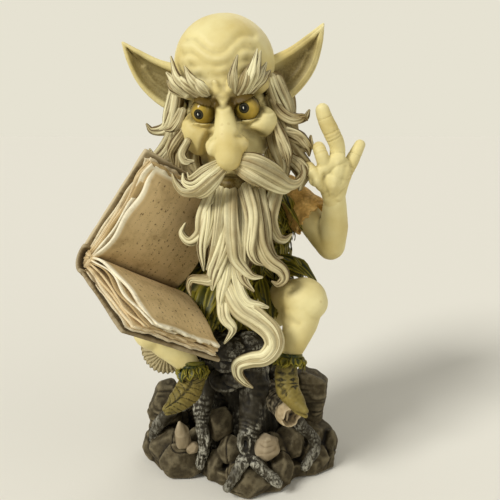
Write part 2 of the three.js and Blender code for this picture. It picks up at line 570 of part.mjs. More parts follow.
// Arms: frayed sleeves, bare forearms, the raised hand and the hand behind the book.
const sleeve = (shoulder, hem) => (g) => limb([shoulder, hem], [14, 13.5], g, { sides: 10, steps: 1 });
const arm = (shoulder, hem, elbow, wrist) => (g) => join([
  limb([between(shoulder, hem, 0.8), elbow], [9, 9], g, { steps: 2 }),
  limb([elbow, between(elbow, wrist, 0.45), wrist], [9, 9, WRIST_RADIUS], g, { steps: 2 }),
]);
const GRIP = upperHalf.localToWorld(PALM.clone().add(V(0, 0, 1))).sub(V(0, 0, SEAT_HEIGHT));
piece('sleeve_left', figure, SHOULDER, SLEEVE, sleeve(SHOULDER, HEM));
piece('sleeve_right', figure, SHOULDER_RIGHT, SLEEVE, sleeve(SHOULDER_RIGHT, HEM_RIGHT));
piece('arm_left', figure, ELBOW, SKIN, arm(SHOULDER, HEM, ELBOW, WRIST));
piece('arm_right', figure, ELBOW_RIGHT, SKIN, arm(
  SHOULDER_RIGHT, HEM_RIGHT, ELBOW_RIGHT, between(ELBOW_RIGHT, GRIP, 0.7),
));
const digit = (path, radii, g, steps = 2) => limb(
  path, radii.map((r) => r * (FINGER_RADIUS / 4)), g, { sides: 6, steps },
);
const DIGITS = [
  [[[2.6, 0, 7], [-1.5, -3, 22], [-7, -4, 37]], [4.6, 4.2, 3.6]],
  [[[9, 3, -4], [14.5, 3, 6], [18, 4, 17]], [4.6, 4, 3.2]],
  [[[-5, -3, 6], [-9, -6, 14], [-10.5, 0, 17], [-9, 6, 12]], [4.2, 4.2, 4, 3.4]],
  [[[-8, -3, 0], [-14, -6, 3], [-16, 0, 3], [-13, 6, 0]], [4, 4, 3.8, 3.2]],
];
piece('hand_left', hand, V(0, 0, 0), SKIN, (g) => join([
  ball(V(0, 0, 0), [12, 8.5, 11], g),
  limb([V(2.6, 4, -13), V(1, 1, -4)], [WRIST_RADIUS, 9], g, { steps: 2 }),
  ...DIGITS.map(([path, radii]) => digit(path.map((p) => V(...p)), radii, g)),
]));
const FINGERS_RIGHT = [[-16, -13, 12], [-6, -8, 17], [4, -3, 17]];
piece('hand_right', figure, GRIP, SKIN, (g) => join([
  ball(GRIP, [12, 10, 12], g),
  limb([between(ELBOW_RIGHT, GRIP, 0.6), GRIP], [WRIST_RADIUS, 8], g, { steps: 2 }),
  ...FINGERS_RIGHT.map(([x, y, z]) => digit(
    [GRIP, GRIP.clone().add(V(x * 0.6, y * 0.4, z * 0.7)), GRIP.clone().add(V(x, y, z))], [5, 4.4, 3.6], g, 1,
  )),
]));
const STRAP = [V(11, -8, 94), V(21, 4, 96), V(11, 17, 95)];
const COLLAR = [
  [[V(12, -4, 95), V(24, -8, 91), V(36, -10, 80), V(40, -12, 66)], [4, 9, 9, 1.5], V(0.6, -0.4, 0.7)],
  [[V(12, 14, 96), V(24, 20, 90), V(36, 22, 78), V(40, 22, 64)], [4, 9, 9, 1.5], V(0.6, 0.5, 0.6)],
];
piece('collar_left', figure, V(26, 0, 90), LEAF, leaves(STRAP, COLLAR));
piece('collar_right', figure, V(-26, 0, 90), LEAF, leaves(mirror(STRAP), mirrored(COLLAR)));

// Hair is cast in tapering locks.
const lock = (points, radii, g, steps = 2) => limb(
  points, radii, g, { sides: 5, steps, up: FRONT, thick: 0.75 },
);
const tufts = (list, s = 1, steps = 2) => (g) => join(list.map(([path, radii]) => lock(
  path.map(([x, y, z]) => H(s * x, y, z)), radii, g, steps,
)));
const BROW_LEFT = [
  [[[5.5, -37, 7], [6.5, -36.5, 16], [10, -34, 26]], [3.4, 3.8, 0.8]],
  [[[11, -37, 7], [16.5, -36, 17], [21, -32, 29]], [3.6, 4.2, 0.8]],
  [[[12, -37, 6.5], [21, -33.5, 14.5], [26, -29, 21]], [3.6, 4.2, 0.8]],
  [[[13, -36, 6.5], [23, -31.5, 11], [28, -27, 16]], [3, 3.4, 0.8]],
];
const BROW_RIGHT = [
  [[[-7, -37, 7], [-12.5, -36.5, 12.5], [-18, -34, 18.5]], [3.4, 3.8, 0.8]],
  [[[-10, -37, 7], [-17, -35, 15.5], [-21, -32, 23.5]], [3.6, 4.2, 0.8]],
  [[[-12, -37, 7], [-25, -32, 17], [-29, -28, 29.5]], [3.6, 4.4, 0.8]],
  [[[-14, -36, 6.5], [-28, -30, 12.5], [-33, -27, 16.5]], [3.4, 3.8, 0.8]],
];
const MOUSTACHE_LEFT = [
  [[[8, -53, -25], [16.5, -53, -31], [25.5, -48, -40.5], [32.5, -43.5, -46], [38, -40.5, -46], [42, -37, -38]],
    [3.6, 5.6, 6.4, 5.4, 4, 0.9]],
  [[[8, -52, -29], [14, -52, -38.5], [22, -48, -47], [30, -44, -51], [36, -41, -50]],
    [3.6, 5.6, 5.6, 4, 0.9]],
  [[[9, -51, -23], [20, -50, -28], [27, -45, -35], [32, -41, -42]], [3, 5, 5, 1.4]],
];
const MOUSTACHE_RIGHT = [
  [[[-5, -53, -29], [-11, -56, -37], [-19, -54, -43.5], [-26, -51, -43.5], [-31, -48, -38], [-32, -47, -33]],
    [3.6, 5.8, 6.2, 5, 3.2, 0.9]],
  [[[-6, -53, -28], [-13, -55, -32.5], [-20, -53, -37.5], [-25, -50, -36.5], [-26, -48, -32]],
    [3, 5, 5, 3, 0.9]],
  [[[-4, -52, -32], [-8.5, -54, -40], [-15, -53.5, -46], [-21.5, -51.5, -47.5]], [3.4, 5, 4.4, 0.9]],
];
const SIDE_HAIR = [
  [[[28, -12, 10], [32, -17, -6], [36, -18, -14], [45, -17, -16]], [5, 6, 4.4, 0.9]],
  [[[28, -12, 0], [32, -18, -16], [38, -20, -28], [47, -20, -34]], [5, 6, 4.6, 0.9]],
  [[[26, -14, -10], [28, -21, -26], [32, -22, -40], [30, -22, -50]], [5, 6, 4.6, 0.9]],
  [[[30, -4, -2], [33, -6, -18], [34, -7, -32], [38, -6, -44]], [6, 7, 5, 0.9]],
  [[[30, -8, 4], [33, -11, -12], [33, -14, -26]], [6, 7, 5]],
];
const BACK_HAIR = [
  [[[30, 12, 12], [33, 16, -8], [33, 18, -30], [36, 20, -48]], [6, 8, 7, 0.9]],
  [[[19, 31, 16], [22, 35, -8], [23, 35, -32], [24, 37, -54]], [8, 11, 10, 0.9]],
];
const NAPE = [[[[0, 38, 20], [0, 42, -6], [1, 41, -34], [2, 43, -60]], [8, 11, 10, 0.9]]];
const BAND = onHead([[31, 14, 2], [25, 32, 4], [0, 42, 6], [-25, 32, 4], [-31, 14, 2]]);
piece('brow_left', head, H(9, -37, 5), HAIR, tufts(BROW_LEFT, 1, 1));
piece('brow_right', head, H(-9, -37, 5), HAIR, tufts(BROW_RIGHT, 1, 1));
piece('moustache_left', head, H(12, -42, -44), HAIR, tufts(MOUSTACHE_LEFT, 1, 1));
piece('moustache_right', head, H(-12, -42, -44), HAIR, tufts(MOUSTACHE_RIGHT, 1, 1));
piece('hair_left', head, H(30, -12, -10), HAIR, tufts(SIDE_HAIR, 1, 1));
piece('hair_right', head, H(-30, -12, -10), HAIR, tufts(SIDE_HAIR, -1, 1));
piece('hair_back', head, H(0, 36, -8), HAIR, (g) => join([
  limb(BAND, [6, 7, 7, 7, 6], g, { sides: 5, steps: 1 }),
  tufts(BACK_HAIR, 1, 1)(g),
  tufts(BACK_HAIR, -1, 1)(g),
  tufts(NAPE, 1, 1)(g),
]));

const BEARD = [
  [[[-13, -42, 96], [-19, -47, 82], [-21, -49, 72], [-27, -49, 67], [-32, -48, 72], [-30, -47, 77]],
    [6, 6, 5.4, 4, 2.6, 0.9]],
  [[[-6, -45, 92], [-9, -51, 75], [-12, -54, 59], [-16, -54, 47], [-25, -53, 45], [-27, -52, 36]],
    [7, 7.5, 7, 5.6, 3.4, 0.9]],
  [[[-14, -44, 94], [-16, -50, 78], [-19.5, -52, 63], [-19, -52, 50]], [5.6, 6, 4.6, 0.9]],
  [[[-4, -46, 70], [-7, -54, 40], [-7, -57, 23], [-3, -58, 16], [-7, -57, 7]], [6, 6, 4.4, 3, 0.9]],
  [[[0, -45, 98], [-1, -54, 78], [-1, -57, 62], [1, -57, 48], [9, -58, 33], [18, -57, 29]],
    [9, 9, 8.5, 7, 4.4, 0.9]],
  [[[4, -45, 96], [8, -54, 76], [8, -57, 64], [11, -57, 56], [16, -56, 53]], [5, 6, 5.4, 3.6, 0.9]],
  [[[11, -44, 94], [14, -52, 76], [16, -54, 64], [22, -54, 55], [28, -53, 46], [23, -53, 42]],
    [6.4, 7, 6.4, 5.2, 3.8, 0.9]],
  [[[22, -36, 95], [19, -42, 80], [23, -42, 69], [28.5, -40, 66], [33, -38, 69]], [6, 6.4, 4.6, 3.2, 0.9]],
  [[[3, -36, 100], [3, -42, 80], [1, -46, 58], [0, -50, 40]], [18, 16, 12, 7]],
];
const TAIL = [
  [-3, -54, 41], [3, -56, 29], [12, -58, 22.6], [20, -60, 15.6], [22, -61, 7.5], [16.5, -61, 0.5],
  [8.5, -61, -1.5], [1.5, -61, -5], [1, -61, -11], [5, -61, -16.5], [10, -61, -20],
];
const TAIL_RADII = [6, 6.2, 6, 5.8, 5.4, 5, 4.6, 4.2, 3.6, 2.6, 0.9];
piece('beard', figure, V(2, -42, 80), HAIR, (g) => join(BEARD.map(([path, radii]) => lock(
  path.map((p) => V(...p)), radii, g, 1,
))));
piece('beard_tail', figure, V(15, -58, 24), HAIR, (g) => lock(TAIL.map((p) => V(...p)), TAIL_RADII, g, 1));

assemble();

export default group;
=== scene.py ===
"""A painted resin goblin sits on a root stump and reads an open book.

Lengths are written in millimetres and become metres when a piece is made.
"""

import itertools
import math

import bmesh
import bpy
import numpy as np
from mathutils import Euler, Matrix, Vector


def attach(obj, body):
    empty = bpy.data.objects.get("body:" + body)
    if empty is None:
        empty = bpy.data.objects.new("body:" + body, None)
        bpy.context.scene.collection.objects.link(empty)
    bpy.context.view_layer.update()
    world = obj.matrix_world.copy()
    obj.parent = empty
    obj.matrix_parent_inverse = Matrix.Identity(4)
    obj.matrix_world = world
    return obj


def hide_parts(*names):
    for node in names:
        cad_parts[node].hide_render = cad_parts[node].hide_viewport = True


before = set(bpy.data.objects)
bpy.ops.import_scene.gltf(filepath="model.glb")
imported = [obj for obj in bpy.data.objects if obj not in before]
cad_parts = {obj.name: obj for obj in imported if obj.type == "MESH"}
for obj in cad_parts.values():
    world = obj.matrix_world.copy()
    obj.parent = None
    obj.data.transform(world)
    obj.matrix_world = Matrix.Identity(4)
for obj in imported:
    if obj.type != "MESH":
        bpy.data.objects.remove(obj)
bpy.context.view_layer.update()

MM = 0.001
SEAT_HEIGHT = 100
FRONT = (0, -1, 0)
UP = (0, 0, 1)

# The castings' own frames, as in the CAD.
HEAD_TURN = Euler([math.radians(a) for a in (9, -5, -1)], "ZYX")
HEAD = Matrix.Translation((-6, -8, SEAT_HEIGHT + 149)) @ HEAD_TURN.to_matrix().to_4x4()
HAND = Matrix.Translation((58, -26, SEAT_HEIGHT + 105))
SEAT = Matrix.Translation((0, 0, SEAT_HEIGHT))
GROUND = Matrix()

BOOK_LENGTH = 64
BOOK_WIDTH = 67
BOOK_OPENING = math.radians(86)
BLOCK_THICKNESS = 8
BOARD_THICKNESS = 2.2
BOARD_OVERHANG = 2.5
GLUE_GAP = 0.3
SPINE_SET = 1.2
HINGE_GAP = 1.5
GUTTER_SET = 0.8
RAISED_BANDS = (10, 28, 46, 64)
GUTTER_END = Vector((-41, -16.5, SEAT_HEIGHT + 29))
ACROSS = Vector((-0.68, -0.57, 0.46)).normalized()
TO_READER = Vector((0.51, -0.82, -0.26))
TO_READER = (TO_READER - ACROSS * TO_READER.dot(ACROSS)).normalized()
BOOK = Matrix.Translation(GUTTER_END) @ Matrix(
    (ACROSS, TO_READER, ACROSS.cross(TO_READER))
).transposed().to_4x4()
UPPER_HALF = BOOK @ Matrix.Rotation(BOOK_OPENING, 4, "X")


# Shapes: smooth curves, tubes, blobs and stones in a bmesh.
def spline(points, count):
    """Stations on a smooth curve through the points."""
    points = np.array(points, float)
    ends = np.vstack([2 * points[0] - points[1], points, 2 * points[-1] - points[-2]])
    place = np.linspace(0, len(points) - 1, count)
    first = np.minimum(place.astype(int), len(points) - 2)
    f = (place - first)[:, None]
    a, b, c, d = (ends[first + k] for k in range(4))
    bend, twist = 2 * a - 5 * b + 4 * c - d, 3 * b - a - 3 * c + d
    return 0.5 * (2 * b + (c - a) * f + bend * f**2 + twist * f**3)


def evenly(values, count):
    """The values, spread over so many stations."""
    return np.interp(np.linspace(0, len(values) - 1, count), np.arange(len(values)), values)


def unit(vectors):
    return vectors / np.maximum(np.linalg.norm(vectors, axis=-1, keepdims=True), 1e-9)


def rail(points, count, up=FRONT):
    """Centres of a curve's stations, and the directions along it, to its side and off its face."""
    centres = spline(points, count)
    along = unit(np.gradient(centres, axis=0))
    face = np.zeros_like(centres)
    current = np.array(up, float)
    for k, forward in enumerate(along):
        current = current - forward * current.dot(forward)
        if np.linalg.norm(current) < 0.05:
            current = np.cross(forward, (1, 0, 0))
        current = unit(current)
        face[k] = current
    return centres, along, np.cross(along, face), face


def layer(bm, name):
    return bm.verts.layers.float.get(name) or bm.verts.layers.float.new(name)


CAP = np.radians([90, 55, 25])


def tube(bm, points, radii, sides=16, steps=18, up=FRONT, thick=1.0, relief=None, tone=0.5, depth=0.22,
         edge=0.0, contrast=1.0, sunk=0.0):
    """A round-ended tapering tube. `relief(turn, run)` gives its grooves, from 0 at the surface to 1.

    `edge` adds painted shade on its two sides, where it meets its neighbours, and `sunk` adds painted shade
    over all of it.
    """
    centres, along, side, face = rail(points, steps + 1, up)
    sizes = evenly(radii, steps + 1)
    length = np.linalg.norm(np.diff(centres, axis=0), axis=1).sum()
    station = np.concatenate([np.zeros(3, int), np.arange(steps + 1), np.full(3, steps)])
    shrink = np.concatenate([np.cos(CAP), np.ones(steps + 1), np.cos(CAP[::-1])])
    push = np.concatenate([-np.sin(CAP), np.zeros(steps + 1), np.sin(CAP[::-1])])
    rows = len(station)
    wash_shade_and_highlight, tones, strand, runs = (layer(bm, n) for n in ("wash_shade_and_highlight", "tone", "strand", "run"))
    verts = bmesh.ops.create_grid(bm, x_segments=sides, y_segments=rows - 1, size=0.5)["verts"]
    spot = np.array([v.co for v in verts]) + 0.5
    turn = 2 * math.pi * spot[:, 0] - math.pi / 2
    row = np.rint(spot[:, 1] * (rows - 1)).astype(int)
    k = station[row]
    run = k / steps
    groove = np.zeros(len(verts)) if relief is None else relief(turn, run)
    size = sizes[k] * shrink[row] * (1 - groove * depth)
    co = centres[k] + along[k] * (push[row] * sizes[k])[:, None]
    co = co + side[k] * (size * np.cos(turn))[:, None] + face[k] * (size * thick * np.sin(turn))[:, None]
    # Darker in the grooves, with painted shade along the sides and over a sunk tube.
    wash_and_shade = contrast * (groove * 1.6 - 0.6) + edge * np.abs(np.cos(turn)) ** 5 + 0.35 * sunk
    for i, vert in enumerate(verts):
        vert.co = co[i]
        vert[wash_shade_and_highlight] = wash_and_shade[i]
        vert[tones] = tone
        vert[strand] = spot[i, 0]
        vert[runs] = run[i] * length / 40
    bmesh.ops.remove_doubles(bm, verts=verts, dist=1e-3)


def flutes(count, phase=0.0, sway=0.0, sharp=2.5):
    """Combed grooves along a lock, which drift a little round it."""
    def relief(turn, run):
        wave = 0.5 + 0.5 * np.cos(count * turn + phase + sway * np.sin(4 * run + phase))
        fade = np.clip(run * 8 + 0.4, 0, 1)
        return wave**sharp * fade
    return relief


def rings(count, seed=0):
    """Rough rings round a root, deeper and closer in some stretches than in others."""
    def relief(turn, run):
        lean = 0.3 * np.sin(turn + seed) + 0.2 * np.sin(2 * turn + 3 * seed)
        warp = run * count + lean + 0.7 * np.sin(run * 9 + seed) + 0.35 * np.sin(run * 23 + 2 * seed)
        deep = 0.35 + 0.3 * np.sin(run * 14 + 2 * seed) + 0.2 * np.sin(3 * turn + run * 31)
        return np.abs(np.sin(math.pi * warp)) ** 0.8 * np.clip(deep, 0.05, 0.9)
    return relief


def stretched(centre, radii, turn):
    """The frame that makes a unit ball an egg of these radii."""
    return Matrix.Translation(centre) @ Euler(turn, "ZYX").to_matrix().to_4x4() @ Matrix.Diagonal((*radii, 1))


def blob(bm, centre, radii, turn=(0, 0, 0), detail=(28, 18)):
    around, over = detail
    matrix = stretched(centre, radii, turn)
    return bmesh.ops.create_uvsphere(bm, u_segments=around, v_segments=over, radius=1, matrix=matrix)["verts"]


FLATS = 14
SPREAD_ANGLE = 2.4


def stone(bm, centre, radii, seed, turn=(0, 0, 0), square=1.0):
    """A ball with flats broken off it. Below 1, `square` brings it nearer to a block."""
    verts = bmesh.ops.create_icosphere(bm, subdivisions=4, radius=1.04)["verts"]
    co = np.array([v.co for v in verts])
    keep = np.ones(len(co))
    for k in range(FLATS):
        rise = 1 - (2 * k + 1) / FLATS
        reach = math.sqrt(1 - rise * rise)
        turned = SPREAD_ANGLE * k + seed
        way = np.array((reach * math.cos(turned), reach * math.sin(turned), rise))
        depth = 0.88 + 0.09 * math.sin(5.1 * k + 1.7 * seed)
        keep = np.minimum(keep, depth / np.maximum(co @ way, 0.3))
    co = co * keep[:, None]
    for vert, place in zip(verts, np.sign(co) * np.abs(co) ** square):
        vert.co = place
    bmesh.ops.transform(bm, matrix=stretched(centre, radii, turn), verts=verts)


def leaf(bm, base, tip, face, width, curl=0.15, tone=0.5, fold=0.25):
    """A pointed leaf from base to tip, creased along its midrib and curled at its sides."""
    base, tip = Vector(base), Vector(tip)
    along = tip - base
    side = along.cross(Vector(face)).normalized()
    out = side.cross(along).normalized()
    wash_shade_and_highlight, tones = layer(bm, "wash_shade_and_highlight"), layer(bm, "tone")
    grid = bmesh.ops.create_grid(bm, x_segments=6, y_segments=9, size=0.5)["verts"]
    for vert in grid:
        u, v = 2 * vert.co.x, vert.co.y + 0.5
        half = width * (math.sin(math.pi * min(1, v**0.75)) * 0.5 + 0.06 * (1 - v))
        bend = along.length * curl * math.sin(math.pi * v * 0.9)
        wave = 0.06 * width * math.sin(14 * v + 3 * u + tone * 20) * abs(u)
        vert.co = base + along * v + side * (half * u) + out * (bend + fold * half * abs(u) ** 1.5 + wave)
        vert[wash_shade_and_highlight] = 0.9 - 1.6 * abs(u) if abs(u) > 0.3 else -0.7
        vert[tones] = tone
    faces = list({f for v in grid for f in v.link_faces})
    bmesh.ops.solidify(bm, geom=faces, thickness=0.7)


# Objects: closed meshes in the row frame, in metres.
def points_of(mesh):
    co = np.empty(len(mesh.vertices) * 3)
    mesh.vertices.foreach_get("co", co)
    return co.reshape(-1, 3) / MM


def normals_of(mesh):
    normals = np.empty(len(mesh.vertices) * 3)
    mesh.vertex_normals.foreach_get("vector", normals)
    return normals.reshape(-1, 3)


def placed_object(name, data):
    obj = bpy.data.objects.new(name, data)
    bpy.context.collection.objects.link(obj)
    return obj


def as_object(name, bm):
    """A mesh object from a bmesh in millimetres."""
    bmesh.ops.recalc_face_normals(bm, faces=bm.faces)
    bmesh.ops.scale(bm, vec=(MM, MM, MM), verts=bm.verts)
    mesh = bpy.data.meshes.new(name)
    bm.to_mesh(mesh)
    bm.free()
    mesh.shade_smooth()
    return placed_object(name, mesh)


def bake(obj):
    """Makes the modifiers' result the object's own mesh."""
    bpy.context.view_layer.update()
    shown = obj.evaluated_get(bpy.context.evaluated_depsgraph_get())
    old = obj.data
    obj.data = bpy.data.meshes.new_from_object(shown)
    obj.modifiers.clear()
    obj.data.name = obj.name
    bpy.data.meshes.remove(old)
    obj.data.shade_smooth()


def mould(obj, voxel, passes):
    """Melts overlapping forms into one skin and smooths it, like thumbed clay."""
    remesh = obj.modifiers.new("clay", "REMESH")
    remesh.mode = "VOXEL"
    remesh.voxel_size = voxel * MM
    smooth = obj.modifiers.new("thumb", "SMOOTH")
    smooth.factor = 0.5
    smooth.iterations = passes
    bake(obj)


def clay(name, build, voxel=0.9, passes=6):
    bm = bmesh.new()
    build(bm)
    obj = as_object(name, bm)
    mould(obj, voxel, passes)
    return obj


def add_forms(obj, build, voxel, passes):
    """Presses more forms into a clay piece."""
    bm = bmesh.new()
    build(bm)
    extra = as_object(obj.name + "_more", bm)
    whole = bmesh.new()
    whole.from_mesh(obj.data)
    whole.from_mesh(extra.data)
    whole.to_mesh(obj.data)
    whole.free()
    bpy.data.meshes.remove(extra.data)
    mould(obj, voxel, passes)


def displace(obj, move):
    """Moves each point by what `move(points, normals)` gives: a height off the surface, or a step."""
    mesh = obj.data
    co, normals = points_of(mesh), normals_of(mesh)
    step = move(co, normals)
    if step.ndim == 1:
        step = normals * step[:, None]
    mesh.vertices.foreach_set("co", ((co + step) * MM).ravel())
    mesh.update()


def lattice(cells, seed):
    """A repeatable value from 0 to 1 for each whole-number cell."""
    mix = cells @ np.array([374761393, 668265263, 1274126177]) + seed * 974634777
    mix = (mix ^ (mix >> 13)) * 1103515245
    return ((mix ^ (mix >> 16)) & 0xFFFF) / 65535


def noise(co, size, seed=0):
    """Smooth noise from -1 to 1, with bumps about `size` apart."""
    grid = co / size
    base = np.floor(grid).astype(np.int64)
    f = grid - base
    f = f * f * (3 - 2 * f)
    total = np.zeros(len(co))
    for corner in itertools.product((0, 1), repeat=3):
        share = np.prod(np.where(corner, f, 1 - f), axis=1)
        total += share * lattice(base + np.array(corner), seed)
    return 2 * total - 1


def distance_to(co, path):
    """Distance of each point from a smooth curve."""
    path = spline(path, 8 * len(path))
    nearest = np.full(len(co), 1e9)
    for a, b in zip(path[:-1], path[1:]):
        t = np.clip((co - a) @ (b - a) / max((b - a) @ (b - a), 1e-9), 0, 1)
        nearest = np.minimum(nearest, np.linalg.norm(co - a - np.outer(t, b - a), axis=1))
    return nearest


def furrow(far, width, depth):
    """A groove with a raised lip at each side, as a height over the distance from its middle."""
    return depth * (0.55 * np.exp(-((far - 1.7 * width) / width) ** 2) - np.exp(-(far / width) ** 2))


def relaxed(co, pairs, passes):
    """The points, each drawn to the mean of its neighbours again and again."""
    size = len(co)
    one, other = pairs.T
    share = np.maximum(np.bincount(pairs.ravel(), minlength=size), 1)[:, None]
    for _ in range(passes):
        total = np.stack([
            np.bincount(one, co[other, k], size) + np.bincount(other, co[one, k], size) for k in range(3)
        ], axis=1)
        co = 0.4 * co + 0.6 * total / share
    return co


def set_value(obj, name, values):
    mesh = obj.data
    stored = mesh.attributes.get(name) or mesh.attributes.new(name, "FLOAT", "POINT")
    stored.data.foreach_set("value", values.astype(np.float32))


def weather(obj, fine=0.16, broad=0.7):
    """Stores where paint washes into hollows (above 0) and where a dry brush catches edges (below 0)."""
    mesh = obj.data
    co, normals = points_of(mesh), normals_of(mesh)
    pairs = np.empty(len(mesh.edges) * 2, int)
    mesh.edges.foreach_get("vertices", pairs)
    pairs = pairs.reshape(-1, 2)
    near = relaxed(co, pairs, 5)
    far = relaxed(near, pairs, 26)
    depth = ((near - co) * normals).sum(1) / fine + ((far - co) * normals).sum(1) / broad
    set_value(obj, "wash_shade_and_highlight", np.clip(depth, -1.5, 1.5))
    set_value(obj, "tone", 0.5 + 0.5 * noise(co, 14, 3))


# A piece's darkening marks: washed-in paint and painted shade above 0, highlights below 0.
def wash_and_shade_of(obj):
    values = np.empty(len(obj.data.vertices), np.float32)
    obj.data.attributes["wash_shade_and_highlight"].data.foreach_get("value", values)
    return values


def darken(obj, amount):
    """Paints a piece darker all over as painted shade, or lighter as a painted highlight."""
    set_value(obj, "wash_shade_and_highlight", wash_and_shade_of(obj) + amount)


def shade(obj, *spots):
    """Darkens the paint softly round each spot, as painted shade and washed-in paint; each spot is given by
    its place, reach and strength.
    """
    values = wash_and_shade_of(obj)
    co = points_of(obj.data)
    for place, reach, strength in spots:
        near = np.exp(-((np.linalg.norm(co - np.array(place), axis=1) / reach) ** 2))
        values = values * (1 - near) + np.maximum(values, strength) * near
    set_value(obj, "wash_shade_and_highlight", values)


def show(obj, place, slot, *nodes, paint=None):
    """Puts a finished piece in the row frame and lets it stand for its CAD nodes."""
    scaled = place.copy()
    scaled.translation = place.translation * MM
    obj.data.transform(scaled)
    obj.name = nodes[0] + "_casting"
    obj.data.materials.clear()
    obj.data.materials.append(MATERIALS[paint or slot])
    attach(obj, "root")
    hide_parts(*nodes)


# Materials: painted resin, washed dark in the hollows and darkened for painted shade, with a dry-brushed
# edge.
def srgb(red, green, blue):
    """A paint colour as it looks on a screen, from 0 to 255."""
    channels = [c / 255 for c in (red, green, blue)]
    linear = [c / 12.92 if c <= 0.04045 else ((c + 0.055) / 1.055) ** 2.4 for c in channels]
    return (*linear, 1.0)


def add(tree, kind, inputs=None, **settings):
    """A shader node with its settings, and its inputs set or linked."""
    made = tree.nodes.new(kind)
    for name, value in settings.items():
        setattr(made, name, value)
    for name, value in (inputs or {}).items():
        if isinstance(value, bpy.types.NodeSocket):
            tree.links.new(value, made.inputs[name])
        else:
            made.inputs[name].default_value = value
    return made


def maths(tree, operation, a, b=0.0, c=0.0, clamp=False):
    return add(tree, "ShaderNodeMath", {0: a, 1: b, 2: c}, operation=operation, use_clamp=clamp).outputs[0]


def blended(tree, factor, a, b):
    return add(tree, "ShaderNodeMix", {0: factor, 6: a, 7: b}, data_type="RGBA").outputs[2]


def ramp(tree, value, low, high, top=1.0):
    """Goes from 0 to `top` while the value goes from `low` to `high`."""
    limits = {"Value": value, "From Min": low, "From Max": high, "To Max": top}
    return add(tree, "ShaderNodeMapRange", limits).outputs[0]


def clouds(tree, vector, scale, detail=2.0, roughness=0.5, distortion=0.0):
    """The outputs of a cloudy noise."""
    kind = {"Scale": scale, "Detail": detail, "Roughness": roughness, "Distortion": distortion}
    return add(tree, "ShaderNodeTexNoise", {"Vector": vector, **kind}).outputs


def cells(tree, vector, scale):
    """The outputs of a pattern of small cells."""
    return add(tree, "ShaderNodeTexVoronoi", {"Vector": vector, "Scale": scale}).outputs


def value_of(tree, name):
    return add(tree, "ShaderNodeAttribute", attribute_name=name).outputs["Fac"]


def new_group(name, inputs, outputs):
    """A shader node group, with its input and output sockets."""
    tree = bpy.data.node_groups.new(name, "ShaderNodeTree")
    for label, kind in inputs:
        tree.interface.new_socket(label, in_out="INPUT", socket_type="NodeSocket" + kind)
    for label, kind in outputs:
        tree.interface.new_socket(label, in_out="OUTPUT", socket_type="NodeSocket" + kind)
    return tree, tree.nodes.new("NodeGroupInput").outputs, tree.nodes.new("NodeGroupOutput").inputs


def aged_paint_group():
    """Paint, clouded, washed dark in the hollows and darkened for painted shade, and with a highlight on the
    edges.
    """
    colours = ("Paint", "Second Paint", "Wash And Shade", "Highlight")
    amounts = ("Wash Amount", "Highlight Amount", "Cloud Scale")
    inputs = [("Vector", "Vector")]
    inputs += [(label, "Color") for label in colours]
    inputs += [(label, "Float") for label in amounts]
    tree, given, made = new_group("aged_paint", inputs, [("Colour", "Color"), ("Cloud", "Float")])
    cloud = clouds(tree, given["Vector"], given["Cloud Scale"], 5.0, 0.62)["Fac"]
    fine = clouds(tree, given["Vector"], 900.0, 3.0)["Fac"]
    toned = maths(tree, "MULTIPLY_ADD", value_of(tree, "tone"), 0.9, -0.25)
    second = maths(tree, "ADD", ramp(tree, cloud, 0.36, 0.66, 0.35), toned, clamp=True)
    colour = blended(tree, second, given["Paint"], given["Second Paint"])
    wash_shade_and_highlight = value_of(tree, "wash_shade_and_highlight")
    broken = maths(tree, "MULTIPLY_ADD", fine, 0.5, 0.72)
    wash_and_shade = maths(tree, "MULTIPLY", maths(tree, "MULTIPLY", wash_shade_and_highlight, given["Wash Amount"]), broken, clamp=True)
    raised = maths(tree, "MULTIPLY", maths(tree, "MULTIPLY", wash_shade_and_highlight, -1.0), given["Highlight Amount"])
    light = maths(tree, "MULTIPLY", raised, broken, clamp=True)
    colour = blended(tree, wash_and_shade, colour, given["Wash And Shade"])
    tree.links.new(blended(tree, light, colour, given["Highlight"]), made["Colour"])
    tree.links.new(cloud, made["Cloud"])
    return tree


def casting_grain_group():
    """Fine pits and brush marks of a hand-painted casting, as a height."""
    tree, given, made = new_group(
        "casting_grain", [("Vector", "Vector"), ("Scale", "Float")], [("Height", "Float")]
    )
    grain = clouds(tree, given["Vector"], given["Scale"], 6.0, 0.65)["Fac"]
    pits = ramp(tree, cells(tree, given["Vector"], given["Scale"])["Distance"], 0.05, 0.3)
    height = maths(tree, "ADD", maths(tree, "MULTIPLY", grain, 0.7), maths(tree, "MULTIPLY", pits, 0.3))
    tree.links.new(height, made["Height"])
    return tree


def specks_group():
    """Scattered specks, larger and smaller, as a mask."""
    tree, given, made = new_group(
        "specks", [("Vector", "Vector"), ("Scale", "Float"), ("Share", "Float")], [("Mask", "Float")]
    )
    scattered = cells(tree, given["Vector"], given["Scale"])
    chosen = add(tree, "ShaderNodeSeparateColor", {0: scattered["Color"]}).outputs[0]
    wanted = maths(tree, "LESS_THAN", chosen, given["Share"])
    spot = ramp(tree, scattered["Distance"], 0.30, 0.16)
    tree.links.new(maths(tree, "MULTIPLY", wanted, spot), made["Mask"])
    return tree


AGED_PAINT = aged_paint_group()
CASTING_GRAIN = casting_grain_group()
SPECKS = specks_group()


def specks(tree, vector, scale, share):
    chosen = {"Vector": vector, "Scale": scale, "Share": share}
    return add(tree, "ShaderNodeGroup", chosen, node_tree=SPECKS).outputs["Mask"]


